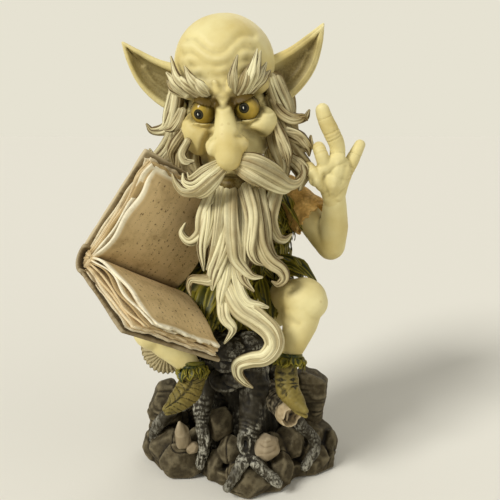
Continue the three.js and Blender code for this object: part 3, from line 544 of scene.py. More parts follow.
def painted(name, colours, measures, finish):
    """Painted resin. `finish(tree, vector, colour, height)` may change the colour and the relief."""
    paint, second, wash_and_shade, highlight = (srgb(*colour) for colour in colours)
    wash_and_shade_amount, highlight_amount, roughness, cloud, grain, bump = measures
    material = bpy.data.materials.new(name)
    material.use_nodes = True
    tree = material.node_tree
    shader = tree.nodes["Principled BSDF"]
    vector = add(tree, "ShaderNodeTexCoord").outputs["Object"]
    aged = add(tree, "ShaderNodeGroup", {
        "Vector": vector, "Paint": paint, "Second Paint": second, "Wash And Shade": wash_and_shade, "Highlight": highlight,
        "Wash Amount": wash_and_shade_amount, "Highlight Amount": highlight_amount, "Cloud Scale": cloud,
    }, node_tree=AGED_PAINT).outputs
    rough = add(tree, "ShaderNodeGroup", {"Vector": vector, "Scale": grain}, node_tree=CASTING_GRAIN).outputs
    colour, height = aged["Colour"], rough["Height"]
    if finish:
        colour, height = finish(tree, vector, colour, height)
    tree.links.new(colour, shader.inputs["Base Color"])
    limits = {"Value": aged["Cloud"], "To Min": roughness - 0.1, "To Max": roughness + 0.12}
    tree.links.new(add(tree, "ShaderNodeMapRange", limits).outputs[0], shader.inputs["Roughness"])
    relief = add(tree, "ShaderNodeBump", {"Strength": bump, "Distance": 0.0008, "Height": height})
    tree.links.new(relief.outputs[0], shader.inputs["Normal"])
    shader.inputs["Specular IOR Level"].default_value = 0.2
    return material


def combed(tree, vector, colour, height):
    """Fine hairs along each lock."""
    steps = (("strand", 46.0), ("run", 3.0), ("tone", 9.0))
    place = {k: maths(tree, "MULTIPLY", value_of(tree, name), scale) for k, (name, scale) in enumerate(steps)}
    hairs = clouds(tree, add(tree, "ShaderNodeCombineXYZ", place).outputs[0], 1.0, 3.0)["Fac"]
    colour = blended(tree, ramp(tree, hairs, 0.46, 0.3, 0.55), colour, srgb(150, 126, 84))
    return colour, maths(tree, "ADD", maths(tree, "MULTIPLY", height, 0.3), hairs)


def freckled(tree, vector, colour, height):
    """Age spots on the skin."""
    faint = maths(tree, "MULTIPLY", specks(tree, vector, 260.0, 0.05), 0.18)
    return blended(tree, faint, colour, srgb(160, 128, 60)), height


# Specks on the pages, from large to small: scale, share, strength and tint.
PAGE_MARKS = (
    (380.0, 0.7, 0.8, (88, 66, 34)),
    (620.0, 0.8, 0.75, (96, 72, 38)),
    (1100.0, 0.8, 0.6, (108, 82, 44)),
)


def foxed(tree, vector, colour, height):
    """Old paper: brown stains, and specks in rough rows that stop short of the edges."""
    dirty = ramp(tree, clouds(tree, vector, 85.0, 6.0, 0.7)["Fac"], 0.5, 0.72, 0.6)
    marked = blended(tree, dirty, colour, srgb(146, 120, 74))
    ripple = clouds(tree, vector, 700.0)["Color"]
    shift = add(tree, "ShaderNodeVectorMath", {0: ripple, "Scale": 0.0016}, operation="SCALE").outputs[0]
    uneven = add(tree, "ShaderNodeVectorMath", {0: vector, 1: shift}, operation="ADD").outputs[0]
    strand, run = value_of(tree, "strand"), value_of(tree, "run")
    rows = maths(tree, "SINE", maths(tree, "MULTIPLY", strand, 96.0))
    broken = maths(tree, "MULTIPLY", clouds(tree, vector, 110.0)["Fac"], 2.6)
    in_rows = ramp(tree, maths(tree, "ADD", rows, broken), 1.25, 1.8)
    inside = ramp(tree, maths(tree, "MAXIMUM", strand, run), 0.93, 0.88)
    allowed = maths(tree, "MULTIPLY", in_rows, inside)
    for scale, share, strength, tint in PAGE_MARKS:
        spots = maths(tree, "MULTIPLY", specks(tree, uneven, scale, share), strength)
        marked = blended(tree, maths(tree, "MULTIPLY", spots, allowed), marked, srgb(*tint))
    return marked, height


def fibrous(tree, vector, colour, height):
    """Bark with silver brushed in streaks over its ridges."""
    long = add(tree, "ShaderNodeMapping", {"Vector": vector, "Scale": (1.0, 1.0, 0.3)}).outputs[0]
    streaks = clouds(tree, long, 620.0, 6.0, 0.7, 0.8)["Fac"]
    bright = ramp(tree, clouds(tree, vector, 50.0)["Fac"], 0.42, 0.6)
    raised = maths(tree, "MULTIPLY", value_of(tree, "wash_shade_and_highlight"), -1.3, clamp=True)
    brushed = ramp(tree, streaks, 0.46, 0.55)
    silver = maths(tree, "MULTIPLY", maths(tree, "MULTIPLY", raised, bright), brushed, clamp=True)
    return blended(tree, silver, colour, srgb(166, 162, 144)), maths(tree, "ADD", height, streaks)


def gritty(tree, vector, colour, height):
    """Stone with dark grit and pale grains."""
    grit = clouds(tree, vector, 330.0, 8.0, 0.75)["Fac"]
    colour = blended(tree, ramp(tree, grit, 0.5, 0.34, 0.6), colour, srgb(36, 30, 19))
    colour = blended(tree, ramp(tree, grit, 0.58, 0.72, 0.45), colour, srgb(118, 106, 78))
    return colour, maths(tree, "ADD", height, grit)


def woven(tree, vector, colour, height):
    """Coarse cloth."""
    weave = cells(tree, vector, 520.0)["Distance"]
    colour = blended(tree, ramp(tree, weave, 0.35, 0.75, 0.35), colour, srgb(124, 92, 38))
    return colour, maths(tree, "SUBTRACT", height, weave)


# The iris's rim, the iris and the pupil: the angles between which each fades in, and its tint.
IRIS_RINGS = (
    (0.42, 0.38, (34, 32, 18)),
    (0.36, 0.3, (54, 50, 28)),
    (0.26, 0.22, (12, 12, 9)),
)


def glazed_eye(tree, vector, colour, height):
    """Iris and pupil, by the angle from where the eye looks, and a painted glint."""
    gaze = value_of(tree, "gaze")
    for outer, inner, tint in IRIS_RINGS:
        colour = blended(tree, ramp(tree, gaze, outer, inner), colour, srgb(*tint))
    glint = ramp(tree, value_of(tree, "glint"), 1.0, 0.7)
    return blended(tree, glint, colour, srgb(226, 222, 200)), height


# Each finish: its paint, second paint, dark colour (for washed hollows and painted shade) and highlight; then
# the strength of dark colour and highlight, roughness, cloud scale, grain scale and bump; then its own
# pattern, if it has one.
PAINTS = {
    "skin": ([(227, 214, 154), (199, 175, 100), (84, 66, 20), (242, 234, 192)],
             (0.85, 0.35, 0.5, 45.0, 900.0, 0.2), freckled),
    "hair": ([(236, 227, 180), (154, 132, 82), (82, 62, 28), (246, 240, 204)],
             (0.9, 0.6, 0.6, 70.0, 900.0, 0.3), combed),
    "leaf": ([(34, 44, 13), (110, 100, 20), (14, 18, 6), (176, 160, 52)],
             (0.85, 0.8, 0.4, 120.0, 900.0, 0.3), None),
    "sleeve": ([(220, 178, 102), (198, 154, 80), (112, 80, 30), (236, 206, 142)],
               (0.7, 0.5, 0.8, 90.0, 700.0, 0.6), woven),
    "boot": ([(116, 100, 44), (78, 74, 36), (32, 29, 13), (168, 150, 82)],
             (0.9, 0.45, 0.5, 160.0, 700.0, 0.35), None),
    "bark": ([(36, 31, 20), (50, 43, 27), (12, 10, 6), (96, 90, 72)],
             (0.9, 0.2, 0.5, 80.0, 500.0, 0.5), fibrous),
    "broken_wood": ([(42, 36, 23), (184, 162, 122), (24, 18, 10), (206, 190, 154)],
                    (0.95, 0.35, 0.6, 80.0, 500.0, 0.5), None),
    "rock": ([(62, 54, 36), (80, 69, 46), (20, 16, 10), (126, 115, 88)],
             (0.95, 0.75, 0.75, 70.0, 420.0, 0.9), gritty),
    "stone": ([(152, 136, 108), (122, 106, 76), (60, 48, 28), (188, 174, 144)],
              (0.8, 0.4, 0.7, 130.0, 500.0, 0.5), None),
    "page": ([(214, 188, 138), (194, 166, 112), (92, 70, 38), (242, 232, 200)],
             (0.9, 0.8, 0.75, 60.0, 900.0, 0.25), foxed),
    "cover": ([(120, 101, 66), (98, 82, 52), (44, 35, 20), (198, 182, 146)],
              (0.8, 0.8, 0.6, 90.0, 600.0, 0.5), None),
    "eye": ([(188, 158, 62), (116, 98, 36), (58, 46, 16), (216, 196, 120)],
            (0.85, 0.2, 0.14, 160.0, 900.0, 0.02), glazed_eye),
    "fungus": ([(168, 154, 114), (142, 128, 90), (74, 61, 34), (200, 188, 150)],
               (0.9, 0.5, 0.7, 120.0, 700.0, 0.4), None),
    "felt": ([(58, 62, 46), (48, 52, 38), (28, 30, 22), (80, 84, 66)],
             (0.5, 0.3, 0.95, 200.0, 1600.0, 0.8), None),
    "peg": ([(120, 112, 98), (106, 98, 84), (60, 54, 44), (150, 142, 126)],
            (0.5, 0.3, 0.6, 120.0, 700.0, 0.3), None),
}
MATERIALS = {name: painted(name, *finish) for name, finish in PAINTS.items()}


# Stump, roots, rocks and stones.
# Each root: its path, its radii and how many rings it has.
ROOTS = [
    ([(6, -19, 88), (11, -27, 64), (9, -35, 46), (6, -40, 34), (7, -44, 27)], [12, 11, 8.5, 6.4, 5], 17),
    ([(7, -43, 28), (1, -49, 20), (-6, -52, 9)], [4.6, 4, 3.2], 12),
    ([(7, -43, 28), (15, -48, 20), (26, -49, 10)], [4.6, 4, 3.2], 13),
    ([(16, -8, 84), (31, -17, 58), (39, -22, 40), (49, -23, 29), (52, -24, 20), (45, -28, 9)],
     [9, 7.4, 4.8, 4, 3.8, 3.2], 30),
    ([(-14, -8, 84), (-22, -20, 58), (-24, -27, 40), (-22, -30, 27), (-25, -31, 12)],
     [9, 7, 4.8, 4, 3.4], 24),
    ([(-22, -18, 60), (-44, -15, 44), (-57, -9, 26), (-56, -10, 9)], [6, 4.8, 4.2, 3.6], 24),
    ([(-16, 12, 70), (-30, 30, 38), (-42, 36, 10)], [10, 7, 4.4], 18),
    ([(16, 12, 70), (29, 29, 38), (37, 32, 9)], [10, 7, 4.4], 18),
    ([(2, 16, 72), (-2, 32, 40), (4, 38, 9)], [11, 7, 4.4], 17),
    ([(-12, -6, 72), (-34, -17, 78), (-49, -23, 82)], [9, 7, 5], 11),
]
BASE_BOTTOM = 1.5
# Shelves of bark: middle and radii.
SHELF_TILT = (0.5, 0, 0)
SHELVES = [
    ((-4, -27, 92), (10, 9, 6)), ((-8, -28, 84), (7, 8, 5.5)),
    ((-8, -25, 71), (10, 10, 5)), ((-1, -28, 75), (8, 9, 4.5)),
]


def stump():
    """The trunk, its shelves of bark under the seat, the roots and a knot on the front root."""
    def forms(bm):
        def ribs(turn, run):
            return (0.5 + 0.5 * np.cos(9 * turn + 2.5 * np.sin(6 * run) + np.sin(3 * turn))) ** 2 * 0.4
        tube(bm, [(0, 5, 16), (0, 4, 50), (0, 4, 76)], [30, 23, 25], 66, 40, relief=ribs)
        blob(bm, (0, 2, 88), (32, 30, 13))
        for seed, (path, radii, count) in enumerate(ROOTS):
            tube(bm, path, radii, 30, 6 * count, relief=rings(count, seed))
        for centre, radii in SHELVES:
            blob(bm, centre, radii, SHELF_TILT)
            rim = []
            for angle in np.linspace(math.radians(170), math.radians(370), 9):
                edge = Vector((radii[0] * math.cos(angle), radii[1] * math.sin(angle), -0.4))
                rim.append(Vector(centre) + Euler(SHELF_TILT).to_matrix() @ edge)
            tube(bm, rim, [0.8, 1.2, 1.5, 1.6, 1.6, 1.6, 1.5, 1.2, 0.8], 12, 60, relief=rings(30, radii[0]))
        for size, thickness in ((1.0, 1.0), (0.5, 0.7)):
            eye_of_wood = [(5 + 3.2 * size * math.cos(a), -46.5 - 0.6 * size, 36 + 6.5 * size * math.sin(a))
                           for a in np.linspace(0, 2 * math.pi, 13)]
            tube(bm, eye_of_wood, [thickness] * 13, 10, 48)
    obj = clay("root_stump", forms, 0.7, 1)

    def bark(co, normals):
        drift = np.stack([noise(co, 10, seed) for seed in (21, 22, 23)], axis=1)
        plates = np.abs(noise((co + 4 * drift) * (1, 1, 0.4), 6, 8)) - 0.28
        wrinkles = np.abs(noise((co + 2 * drift) * (0.6, 0.6, 1), 3, 9)) - 0.28
        moved = normals * (1.3 * plates + 0.5 * wrinkles + 0.15 * noise(co, 1.5, 10))[:, None]
        moved[:, 2] += np.maximum(BASE_BOTTOM - co[:, 2], 0)
        return moved
    displace(obj, bark)
    weather(obj, 0.3, 0.9)
    show(obj, GROUND, "bark", "root_stump")


def root_stub():
    """A broken root: a pale ragged rim round a hollow with splinters in it."""
    start, way = Vector((32, -46, 57)), Vector((4, -9, -2)).normalized()

    def forms(bm):
        tube(bm, [(20, -24, 60), (27, -38, 59), start], [8.5, 7.6, 8.6], 30, 44, relief=rings(10, 2))
    obj = clay("root_stub", forms, 0.5, 1)

    def hollow(co, normals):
        off = co - np.array(start)
        run = off @ np.array(way)
        across = np.linalg.norm(off - run[:, None] * np.array(way), axis=1)
        depth = 9 * np.clip(1 - (across / 6.3) ** 4, 0, 1) * (run > 0)
        ragged = 1.6 * noise(co * (1, 0.3, 1), 2.6, 5) * (run > -3) * (across > 5)
        return np.array(way) * (ragged - depth)[:, None] + normals * (0.35 * noise(co, 1.6, 3))[:, None]
    displace(obj, hollow)

    def splinters(bm):
        tube(bm, [(26, -46, 61), (31, -46, 58), (35, -46, 61)], [0.9, 1.1, 0.7], 10, 16)
        tube(bm, [(31, -46, 58), (31, -47, 54), (30, -47, 51)], [1.1, 0.9, 0.8], 10, 16)
    add_forms(obj, splinters, 0.45, 1)
    weather(obj)
    rim = points_of(obj.data) - np.array(start)
    set_value(obj, "tone", np.clip((rim @ np.array(way) + 4) / 4, 0, 1))
    show(obj, GROUND, "bark", "root_stub", paint="broken_wood")


# The base was laid out 130 wide and is made 138 wide.
WIDE = 138 / 130
OUTLINE = [
    (-50, -20), (-36, -30), (-25, -23), (-11, -38), (8, -48), (26, -45), (36, -29), (49, -26),
    (62, -16), (65, 4), (58, 24), (38, 39), (8, 46), (-26, 42), (-52, 27), (-64, 4),
]
# Boulders: middle and radii.
BOULDERS = [
    ((-42, -10, 12), (18, 16, 15)), ((-36, -23, 11), (15, 12, 14)), ((-47, 16, 14), (16, 18, 18)),
    ((-20, 27, 13), (24, 16, 19)), ((22, 28, 13), (25, 15, 19)), ((50, 2, 14), (14, 18, 16)),
    ((47, -15, 9), (13, 11, 12)), ((-14, -27, 7), (7, 9, 14)), ((8, -40, 7), (18, 14, 12)),
    ((26, -33, 10), (9, 11, 15)), ((-4, -27, 21), (10, 9, 11)), ((33, -19, 21), (12, 9, 13)),
    ((-26, -15, 14), (11, 10, 17)), ((60, -4, 13), (6, 9, 12)), ((-57, 0, 10), (8, 13, 11)),
    ((20, -24, 16), (12, 9, 15)), ((55, 16, 9), (9, 11, 10)),
]


def on_base(x, y, z):
    return (x * WIDE, y, z)


def rock_base():
    def forms(bm):
        rim = [Vector(on_base(x, y, 0)) for x, y in OUTLINE]
        ring = [bm.verts.new(p) for p in rim]
        face = bm.faces.new(ring)
        top = bmesh.ops.extrude_face_region(bm, geom=[face])["geom"]
        bmesh.ops.translate(bm, vec=(0, 0, 10), verts=[g for g in top if isinstance(g, bmesh.types.BMVert)])
        for seed, (centre, radii) in enumerate(BOULDERS):
            stone(bm, on_base(*centre), radii, seed + 1)
    obj = clay("rock_base", forms, 0.8, 3)

    def chipped(co, normals):
        cracks = np.clip(0.12 - np.abs(noise(co, 13, 6)), 0, 1) * 6
        height = 0.45 * noise(co, 9, 1) + 0.22 * noise(co, 2.6, 2) - cracks
        lift = np.maximum(BASE_BOTTOM - co[:, 2], 0)
        moved = normals * (height * np.clip((co[:, 2] - 2) / 4, 0, 1))[:, None]
        moved[:, 2] += lift
        return moved
    displace(obj, chipped)
    weather(obj, 0.3, 2.0)
    show(obj, GROUND, "rock", "rock_base")


def rough_stone(name, slot, centre, radii, seed, turn=(0, 0, 0), voxel=0.7, layers=0.0, square=1.0):
    obj = clay(name, lambda bm: stone(bm, centre, radii, seed, turn, square), voxel, 2)

    def chipped(co, normals):
        height = 0.4 * noise(co, 8, seed) + 0.22 * noise(co, 2.6, seed + 1)
        height += layers * np.abs(noise(co * (0.35, 0.35, 1), 3.2, seed + 2))
        return height
    displace(obj, chipped)
    weather(obj, 0.3, 1.6)
    show(obj, GROUND, slot, name)


def pointed_stone():
    path = [on_base(-34, -28, 27), on_base(-34.6, -31, 36), on_base(-35.3, -34, 44)]
    obj = clay("pointed_stone", lambda bm: tube(bm, path, [5, 4.6, 1.3], 20, 24), 0.5, 3)
    displace(obj, lambda co, normals: 0.8 * noise(co * (1, 1, 0.3), 3, 4))
    weather(obj)
    set_value(obj, "tone", np.full(len(obj.data.vertices), 0.9))
    show(obj, GROUND, "stone", "pointed_stone")


def bracket_mushroom():
    """An upright fan with radiating ridges, at the end of the stump's side branch."""
    hinge = Vector((-46, -27, 95))
    bm = bmesh.new()
    wash_shade_and_highlight, tones = layer(bm, "wash_shade_and_highlight"), layer(bm, "tone")
    grid = bmesh.ops.create_grid(bm, x_segments=136, y_segments=20, size=0.5)["verts"]
    for vert in grid:
        sweep, out = vert.co.x + 0.5, vert.co.y + 0.5
        turn = math.radians(-62 - 160 * sweep)
        ridge = 0.5 + 0.5 * math.cos(2 * math.pi * 14 * sweep + 0.8 * math.sin(5 * out))
        growth = 0.3 * math.sin(26 * out)
        reach = (1 + 14 * out) * (1 + 0.05 * ridge * out**3)
        vert.co = hinge + Vector((
            reach * math.cos(turn),
            -4.4 + 3.4 * out**2 - (0.9 * ridge + growth) * out,
            1.1 * reach * math.sin(turn),
        ))
        vert[wash_shade_and_highlight] = 0.45 - ridge - 0.5 * max(0, out - 0.85) * 6
        vert[tones] = 0.7 - 0.5 * out
    bmesh.ops.solidify(bm, geom=bm.faces[:], thickness=2.4)
    obj = as_object("bracket_mushroom", bm)
    show(obj, GROUND, "fungus", "bracket_mushroom")


# Book: boards, spine, wavy leaves.
def swell(t, lift):
    """Page height over the gutter line, by the share of the page's width."""
    return lift * math.sin(math.pi * min(1, t * 1.15)) - 2.6 * t + 0.5 * math.sin(9 * t)


def board(name, place, z, painted_shade):
    bm = bmesh.new()
    width = BOOK_WIDTH + BOARD_OVERHANG - HINGE_GAP
    size = Vector((BOOK_LENGTH + 2 * BOARD_OVERHANG, width, BOARD_THICKNESS))
    middle = Vector((BOOK_LENGTH / 2, HINGE_GAP + size.y / 2, z + BOARD_THICKNESS / 2))
    bmesh.ops.create_cube(bm, size=1, matrix=Matrix.Translation(middle) @ Matrix.Diagonal((*size, 1)))
    bmesh.ops.bevel(bm, geom=bm.edges[:], offset=0.8, affect="EDGES", segments=2, profile=0.5, material=-1)
    obj = as_object(name, bm)
    mould(obj, 0.6, 2)

    def worn(co, normals):
        return 0.35 * noise(co, 9, 5) + 0.07 * noise(co, 1.8, 6) - 0.4 * np.clip(noise(co, 4, 7) - 0.5, 0, 1)
    displace(obj, worn)
    weather(obj, 0.25, 1.2)
    darken(obj, painted_shade)
    show(obj, place, "cover", name)


def spine():
    """A rounded back of close ribs, with raised bands across it."""
    back = BLOCK_THICKNESS + BOARD_THICKNESS / 2 + GLUE_GAP
    start, sweep = math.radians(-78), math.radians(204) - BOOK_OPENING

    def on_arc(x, radius, share):
        angle = start - sweep * share
        return x, radius * math.cos(angle) + SPINE_SET, radius * math.sin(angle)

    def forms(bm):
        ends = (-BOARD_OVERHANG, BOOK_LENGTH / 2, BOOK_LENGTH + BOARD_OVERHANG)
        for k in range(25):
            tube(bm, [on_arc(x, back, k / 24) for x in ends], [1.5] * 3, 10, 30, up=UP)
        for x in RAISED_BANDS:
            tube(bm, [on_arc(x, back + 1, t) for t in (0, 0.33, 0.66, 1)], [1.6] * 4, 10, 16, up=(1, 0, 0))
    obj = clay("spine", forms, 0.55, 3)
    weather(obj)
    # The spine is painted darker as painted shade.
    darken(obj, 0.8)
    show(obj, BOOK, "cover", "spine")


def page_leaf(bm, height, side, random, lift, thickness, fan, curl):
    """One thick cast leaf, wavy at its free edges. `height` is its place in the block, from 0 to 1.

    `fan` draws the leaf's outer end in along the fore-edge, more so the higher it lies, and `curl`
    lifts its outer corner.
    """
    phase, tilt = random.uniform(0, 6.3, 2)
    reach = 1 - random.uniform(0, 0.03) - 0.02 * height
    trim = random.uniform(0, 1.4)
    tone = random.uniform(0.1, 0.9)
    pale = -1.4 if height > 0.8 else random.uniform(-1, 0.3)
    wash_shade_and_highlight, tones, strand, runs = (layer(bm, n) for n in ("wash_shade_and_highlight", "tone", "strand", "run"))
    grid = bmesh.ops.create_grid(bm, x_segments=60, y_segments=48, size=0.5)["verts"]
    for vert in grid:
        u, t = vert.co.x + 0.5, vert.co.y + 0.5
        uneven = 0.02 * math.sin(7 * t + phase) + 0.015 * math.sin(15 * t + tilt)
        end = 1 - fan * height**1.2 * t**1.2 + uneven * t
        free = max(t**3, u**5)
        wave = 0.45 * free * math.sin(10 * u + phase) + 0.4 * free * math.sin(7 * t + 5 * u + tilt)
        roll = u**5 * height * (1.5 * math.sin(6.5 * t + 0.6) * t**0.5 + 0.6 * math.sin(12 * t + phase))
        corner = curl * max(0, u + t - 1.45) ** 1.5 * height
        ragged = 0.7 * math.sin(23 * u + phase) + 0.4 * math.sin(51 * u + tilt)
        z = -BLOCK_THICKNESS + (swell(t, lift) + BLOCK_THICKNESS) * height + wave + roll + corner
        vert.co = (
            trim * (1 - u) + (BOOK_LENGTH - 0.5) * u * end,
            GUTTER_SET + (BOOK_WIDTH * reach - GUTTER_SET) * t + ragged * (t > 0.99),
            side * z,
        )
        brink = max(t, u)
        gutter = 0.9 * max(0, 1 - t * 12)
        worn = 0.5 * max(0, brink - 0.9) * 10
        band = min(1, max(0, (brink - 0.945) / 0.03))
        vert[wash_shade_and_highlight] = gutter + worn + (pale - worn) * band
        vert[tones] = tone
        vert[strand], vert[runs] = u, t
    faces = list({f for v in grid for f in v.link_faces})
    bmesh.ops.solidify(bm, geom=faces, thickness=thickness)


def pages(name, place, side, lift, seed, fan, curl, leaves=6):
    random = np.random.RandomState(seed)
    bm = bmesh.new()
    for k in range(leaves):
        page_leaf(bm, (k + 0.3) / leaves, side, random, lift, random.uniform(0.8, 1.15), fan, curl)
    if side > 0:
        sections(bm)
    obj = as_object(name, bm)
    show(obj, place, "page", name)


def sections(bm):
    """Folded sections at the back of the block, fanned out inside the spine."""
    depth = BLOCK_THICKNESS - 1
    wash_shade_and_highlight, tones = layer(bm, "wash_shade_and_highlight"), layer(bm, "tone")
    for k in range(8):
        turn = Matrix.Rotation(math.radians(-95) - (math.pi - BOOK_OPENING) * k / 7, 4, "X")
        gutter = Matrix.Translation((BOOK_LENGTH / 2, SPINE_SET, 0))
        slab = gutter @ turn @ Matrix.Translation((0, depth / 2, 0))
        size = Matrix.Diagonal((BOOK_LENGTH + 1.5 - 0.7 * (k % 2), depth, 1.3, 1))
        for vert in bmesh.ops.create_cube(bm, size=1, matrix=slab @ size)["verts"]:
            vert[wash_shade_and_highlight] = 0.3 * (k % 3) - 0.2
            vert[tones] = 0.4


def loose_leaf(name, place, side, seed, fan, curl):
    random = np.random.RandomState(seed)
    bm = bmesh.new()
    page_leaf(bm, 1.06, side, random, 5.0, 1.5, fan, curl)
    obj = as_object(name, bm)
    show(obj, place, "page", name)


def book():
    low = -BLOCK_THICKNESS - BOARD_THICKNESS - GLUE_GAP
    # The lower board is painted darker as painted shade, the upper one a little lighter as a painted
    # highlight.
    board("board_lower", BOOK, low, 0.9)
    board("board_upper", UPPER_HALF, BLOCK_THICKNESS + GLUE_GAP, -0.2)
    spine()
    pages("pages_lower", BOOK, 1, 3.4, 41, 0.26, 0)
    pages("pages_upper", UPPER_HALF, -1, 3.0, 42, 0.06, -7)
    loose_leaf("loose_leaf_lower", BOOK, 1, 43, 0.27, 0)
    loose_leaf("loose_leaf_upper", UPPER_HALF, -1, 44, 0.08, -9)


# Legs, boots and cuffs, in the seat's frame.
HIP = Vector((18, 8, 9))
KNEE_LEFT, ANKLE_LEFT = Vector((41, -38, 29)), Vector((32, -46, -7))
KNEE_RIGHT, ANKLE_RIGHT = Vector((-50, -37, 10)), Vector((-28, -41, -15))
BOOT_LEFT = [(-1.5, 0, -4), (-1.5, -1.5, -13), (-0.5, -5, -19), (4.4, -11, -24), (9, -16.5, -26.5)]
BOOT_RIGHT = [(0.5, 0.5, -3), (-0.8, -1, -10), (-3.4, -5, -14.5), (-8.9, -12, -18), (-14, -17.5, -19)]


def leg(name, hip, knee, ankle):
    """A bare leg: thigh, broad knee and a rounded calf, with one soft crease below the knee."""
    out = math.copysign(1, knee.x)
    calf = knee.lerp(ankle, 0.45) + Vector((out * 1.5, 1, 0))

    def forms(bm):
        tube(bm, [hip, (hip + knee) / 2, knee], [15, 14.5, 13], 28, 20)
        blob(bm, knee, (14, 13.5, 12.5))
        blob(bm, knee + Vector((out * 2.5, -2, -2)), (12, 11.5, 11.5))
        tube(bm, [knee, calf, ankle], [13, 10.8, 5.8], 28, 24)
    obj = clay(name, forms, 0.8, 10)

    under = knee.lerp(ankle, 0.3)
    crease = [under + Vector((-out * x, y, z)) for x, y, z in ((14, -1, 2), (9, -10, 1), (2, -13, -1))]

    def creases(co, normals):
        fold = distance_to(co, crease)
        return -2.2 * np.exp(-((fold / 2.6) ** 2)) + 0.3 * noise(co, 9, 4) + 0.05 * noise(co, 2.4, 5)
    displace(obj, creases)
    weather(obj, 0.7, 2.4)
    # Painted shade and washed-in paint at the ankle, at the hip and in the crease below the knee.
    shade(obj, (ankle, 11, 0.5), (hip, 16, 0.6), (crease[0], 5, 1.2), (crease[1], 4, 0.9))
    show(obj, SEAT, "skin", name)


def boot(name, ankle, path, laced, girth):
    """A pointed boot. A laced one has dark diamonds down its front, the other is cut from a veined leaf."""
    points = [ankle + Vector(p) for p in path]
    radii = [girth * share for share in (0.92, 1, 1.02, 0.75, 0.32)]

    def forms(bm):
        tube(bm, points, radii, 28, 30)
        sole = [p + Vector((0, 0.5, -3.6)) for p in points[2:]]
        tube(bm, sole, [5, 4, 2], 18, 14, thick=0.5, up=UP)
    obj = clay(name, forms, 0.5, 5)
    co = points_of(obj.data)
    centres, _, side, face = rail(points, 60)
    nearest = np.argmin(((co[:, None, :] - centres[None]) ** 2).sum(2), axis=1)
    off = co - centres[nearest]
    run = nearest / 59
    turn = np.arctan2((off * face[nearest]).sum(1), (off * side[nearest]).sum(1)) - math.pi / 2
    turn = (turn + math.pi) % (2 * math.pi) - math.pi
    if laced:
        marks = np.zeros(len(co))
        for row in (0.1, 0.24, 0.38, 0.52):
            for lean in (-0.62, 0.62):
                spot = np.abs(run - row) / 0.075 + np.abs(turn - lean) / 0.5
                marks = np.maximum(marks, np.clip(1.3 - spot + 0.4 * noise(co, 2, 9), 0, 0.8))
    else:
        veins = np.abs(np.sin(26 * run + 3.2 * np.abs(turn) + 0.6 * noise(co, 5, 3)))
        marks = np.clip(0.34 - veins, 0, 1) * 2.2 + 0.8 * np.exp(-((turn / 0.14) ** 2))
        marks = np.clip(marks, 0, 0.7)

    def worked(co, normals):
        at_ankle = np.exp(-((run - 0.62) / 0.1) ** 2)
        fold = np.clip(np.cos(34 * run + 1.2 * np.sin(2 * turn)), 0, 1) ** 3 * at_ankle
        return 0.4 * noise(co, 4, 11) + 0.16 * noise(co, 1.6, 12) - 0.45 * fold - 0.8 * marks
    displace(obj, worked)
    weather(obj, 0.3, 1.2)
    set_value(obj, "wash_shade_and_highlight", np.clip(wash_and_shade_of(obj), -0.8, 0.8) + 0.8 * marks)
    show(obj, SEAT, "boot", name)


def cuff(name, ankle, axis, seed):
    """A dark band and a ring of small leaves round the top of a boot."""
    random = np.random.RandomState(seed)
    out = Vector(axis).normalized()
    side = out.cross(Vector(FRONT)).normalized()
    lift = side.cross(out)
    bm = bmesh.new()
    for drop, size in ((-2.6, 1.5), (-0.4, 1.7)):
        ring = [ankle + out * drop + (side * math.cos(a) + lift * math.sin(a)) * 6.6
                for a in np.linspace(0, 2 * math.pi, 13)]
        tube(bm, ring, [size] * 13, 12, 60, relief=rings(22, seed + drop), up=out, tone=0.15, contrast=0.6)
    for k in range(14):
        angle = 2 * math.pi * k / 14 + random.uniform(-0.2, 0.2)
        way = side * math.cos(angle) + lift * math.sin(angle)
        drop = random.uniform(5, 8.5)
        start = ankle + out * random.uniform(-2.5, 0) + way * 6.8
        skew = way.cross(out) * random.uniform(-2, 2)
        end = start + out * drop + way * random.uniform(1.2, 3) + skew
        leaf(bm, start, end, way, random.uniform(6, 8.5), 0.14, random.uniform(0, 0.6))
    obj = as_object(name, bm)
    show(obj, SEAT, "leaf", name)


# Body: a tunic of overlapping leaves, skirt leaves and collar leaves.
# Rings of the body: height, half width, half depth and how far back the middle lies.
BODY = [
    (-2, 27, 20, 8), (14, 31, 23, 9), (34, 29, 22, 10), (56, 31, 22, 10), (76, 33, 21, 9), (88, 27, 17, 8),
    (95, 15, 13, 5),
]
# Small leaves at the left front and at the back: how many, and their range of angles and heights.
TUFTS = [(110, (-70, 5), (38, 92)), (90, (15, 165), (66, 95))]


def on_body(angle, z, out=0.0):
    """A point of the tunic's surface, and the way off it."""
    heights = [ring[0] for ring in BODY]
    wide, deep, back = (np.interp(z, heights, [ring[k] for ring in BODY]) for k in (1, 2, 3))
    way = Vector((math.cos(angle), math.sin(angle), 0))
    return Vector(((wide + out) * way.x, back + (deep + out) * way.y, z)), way


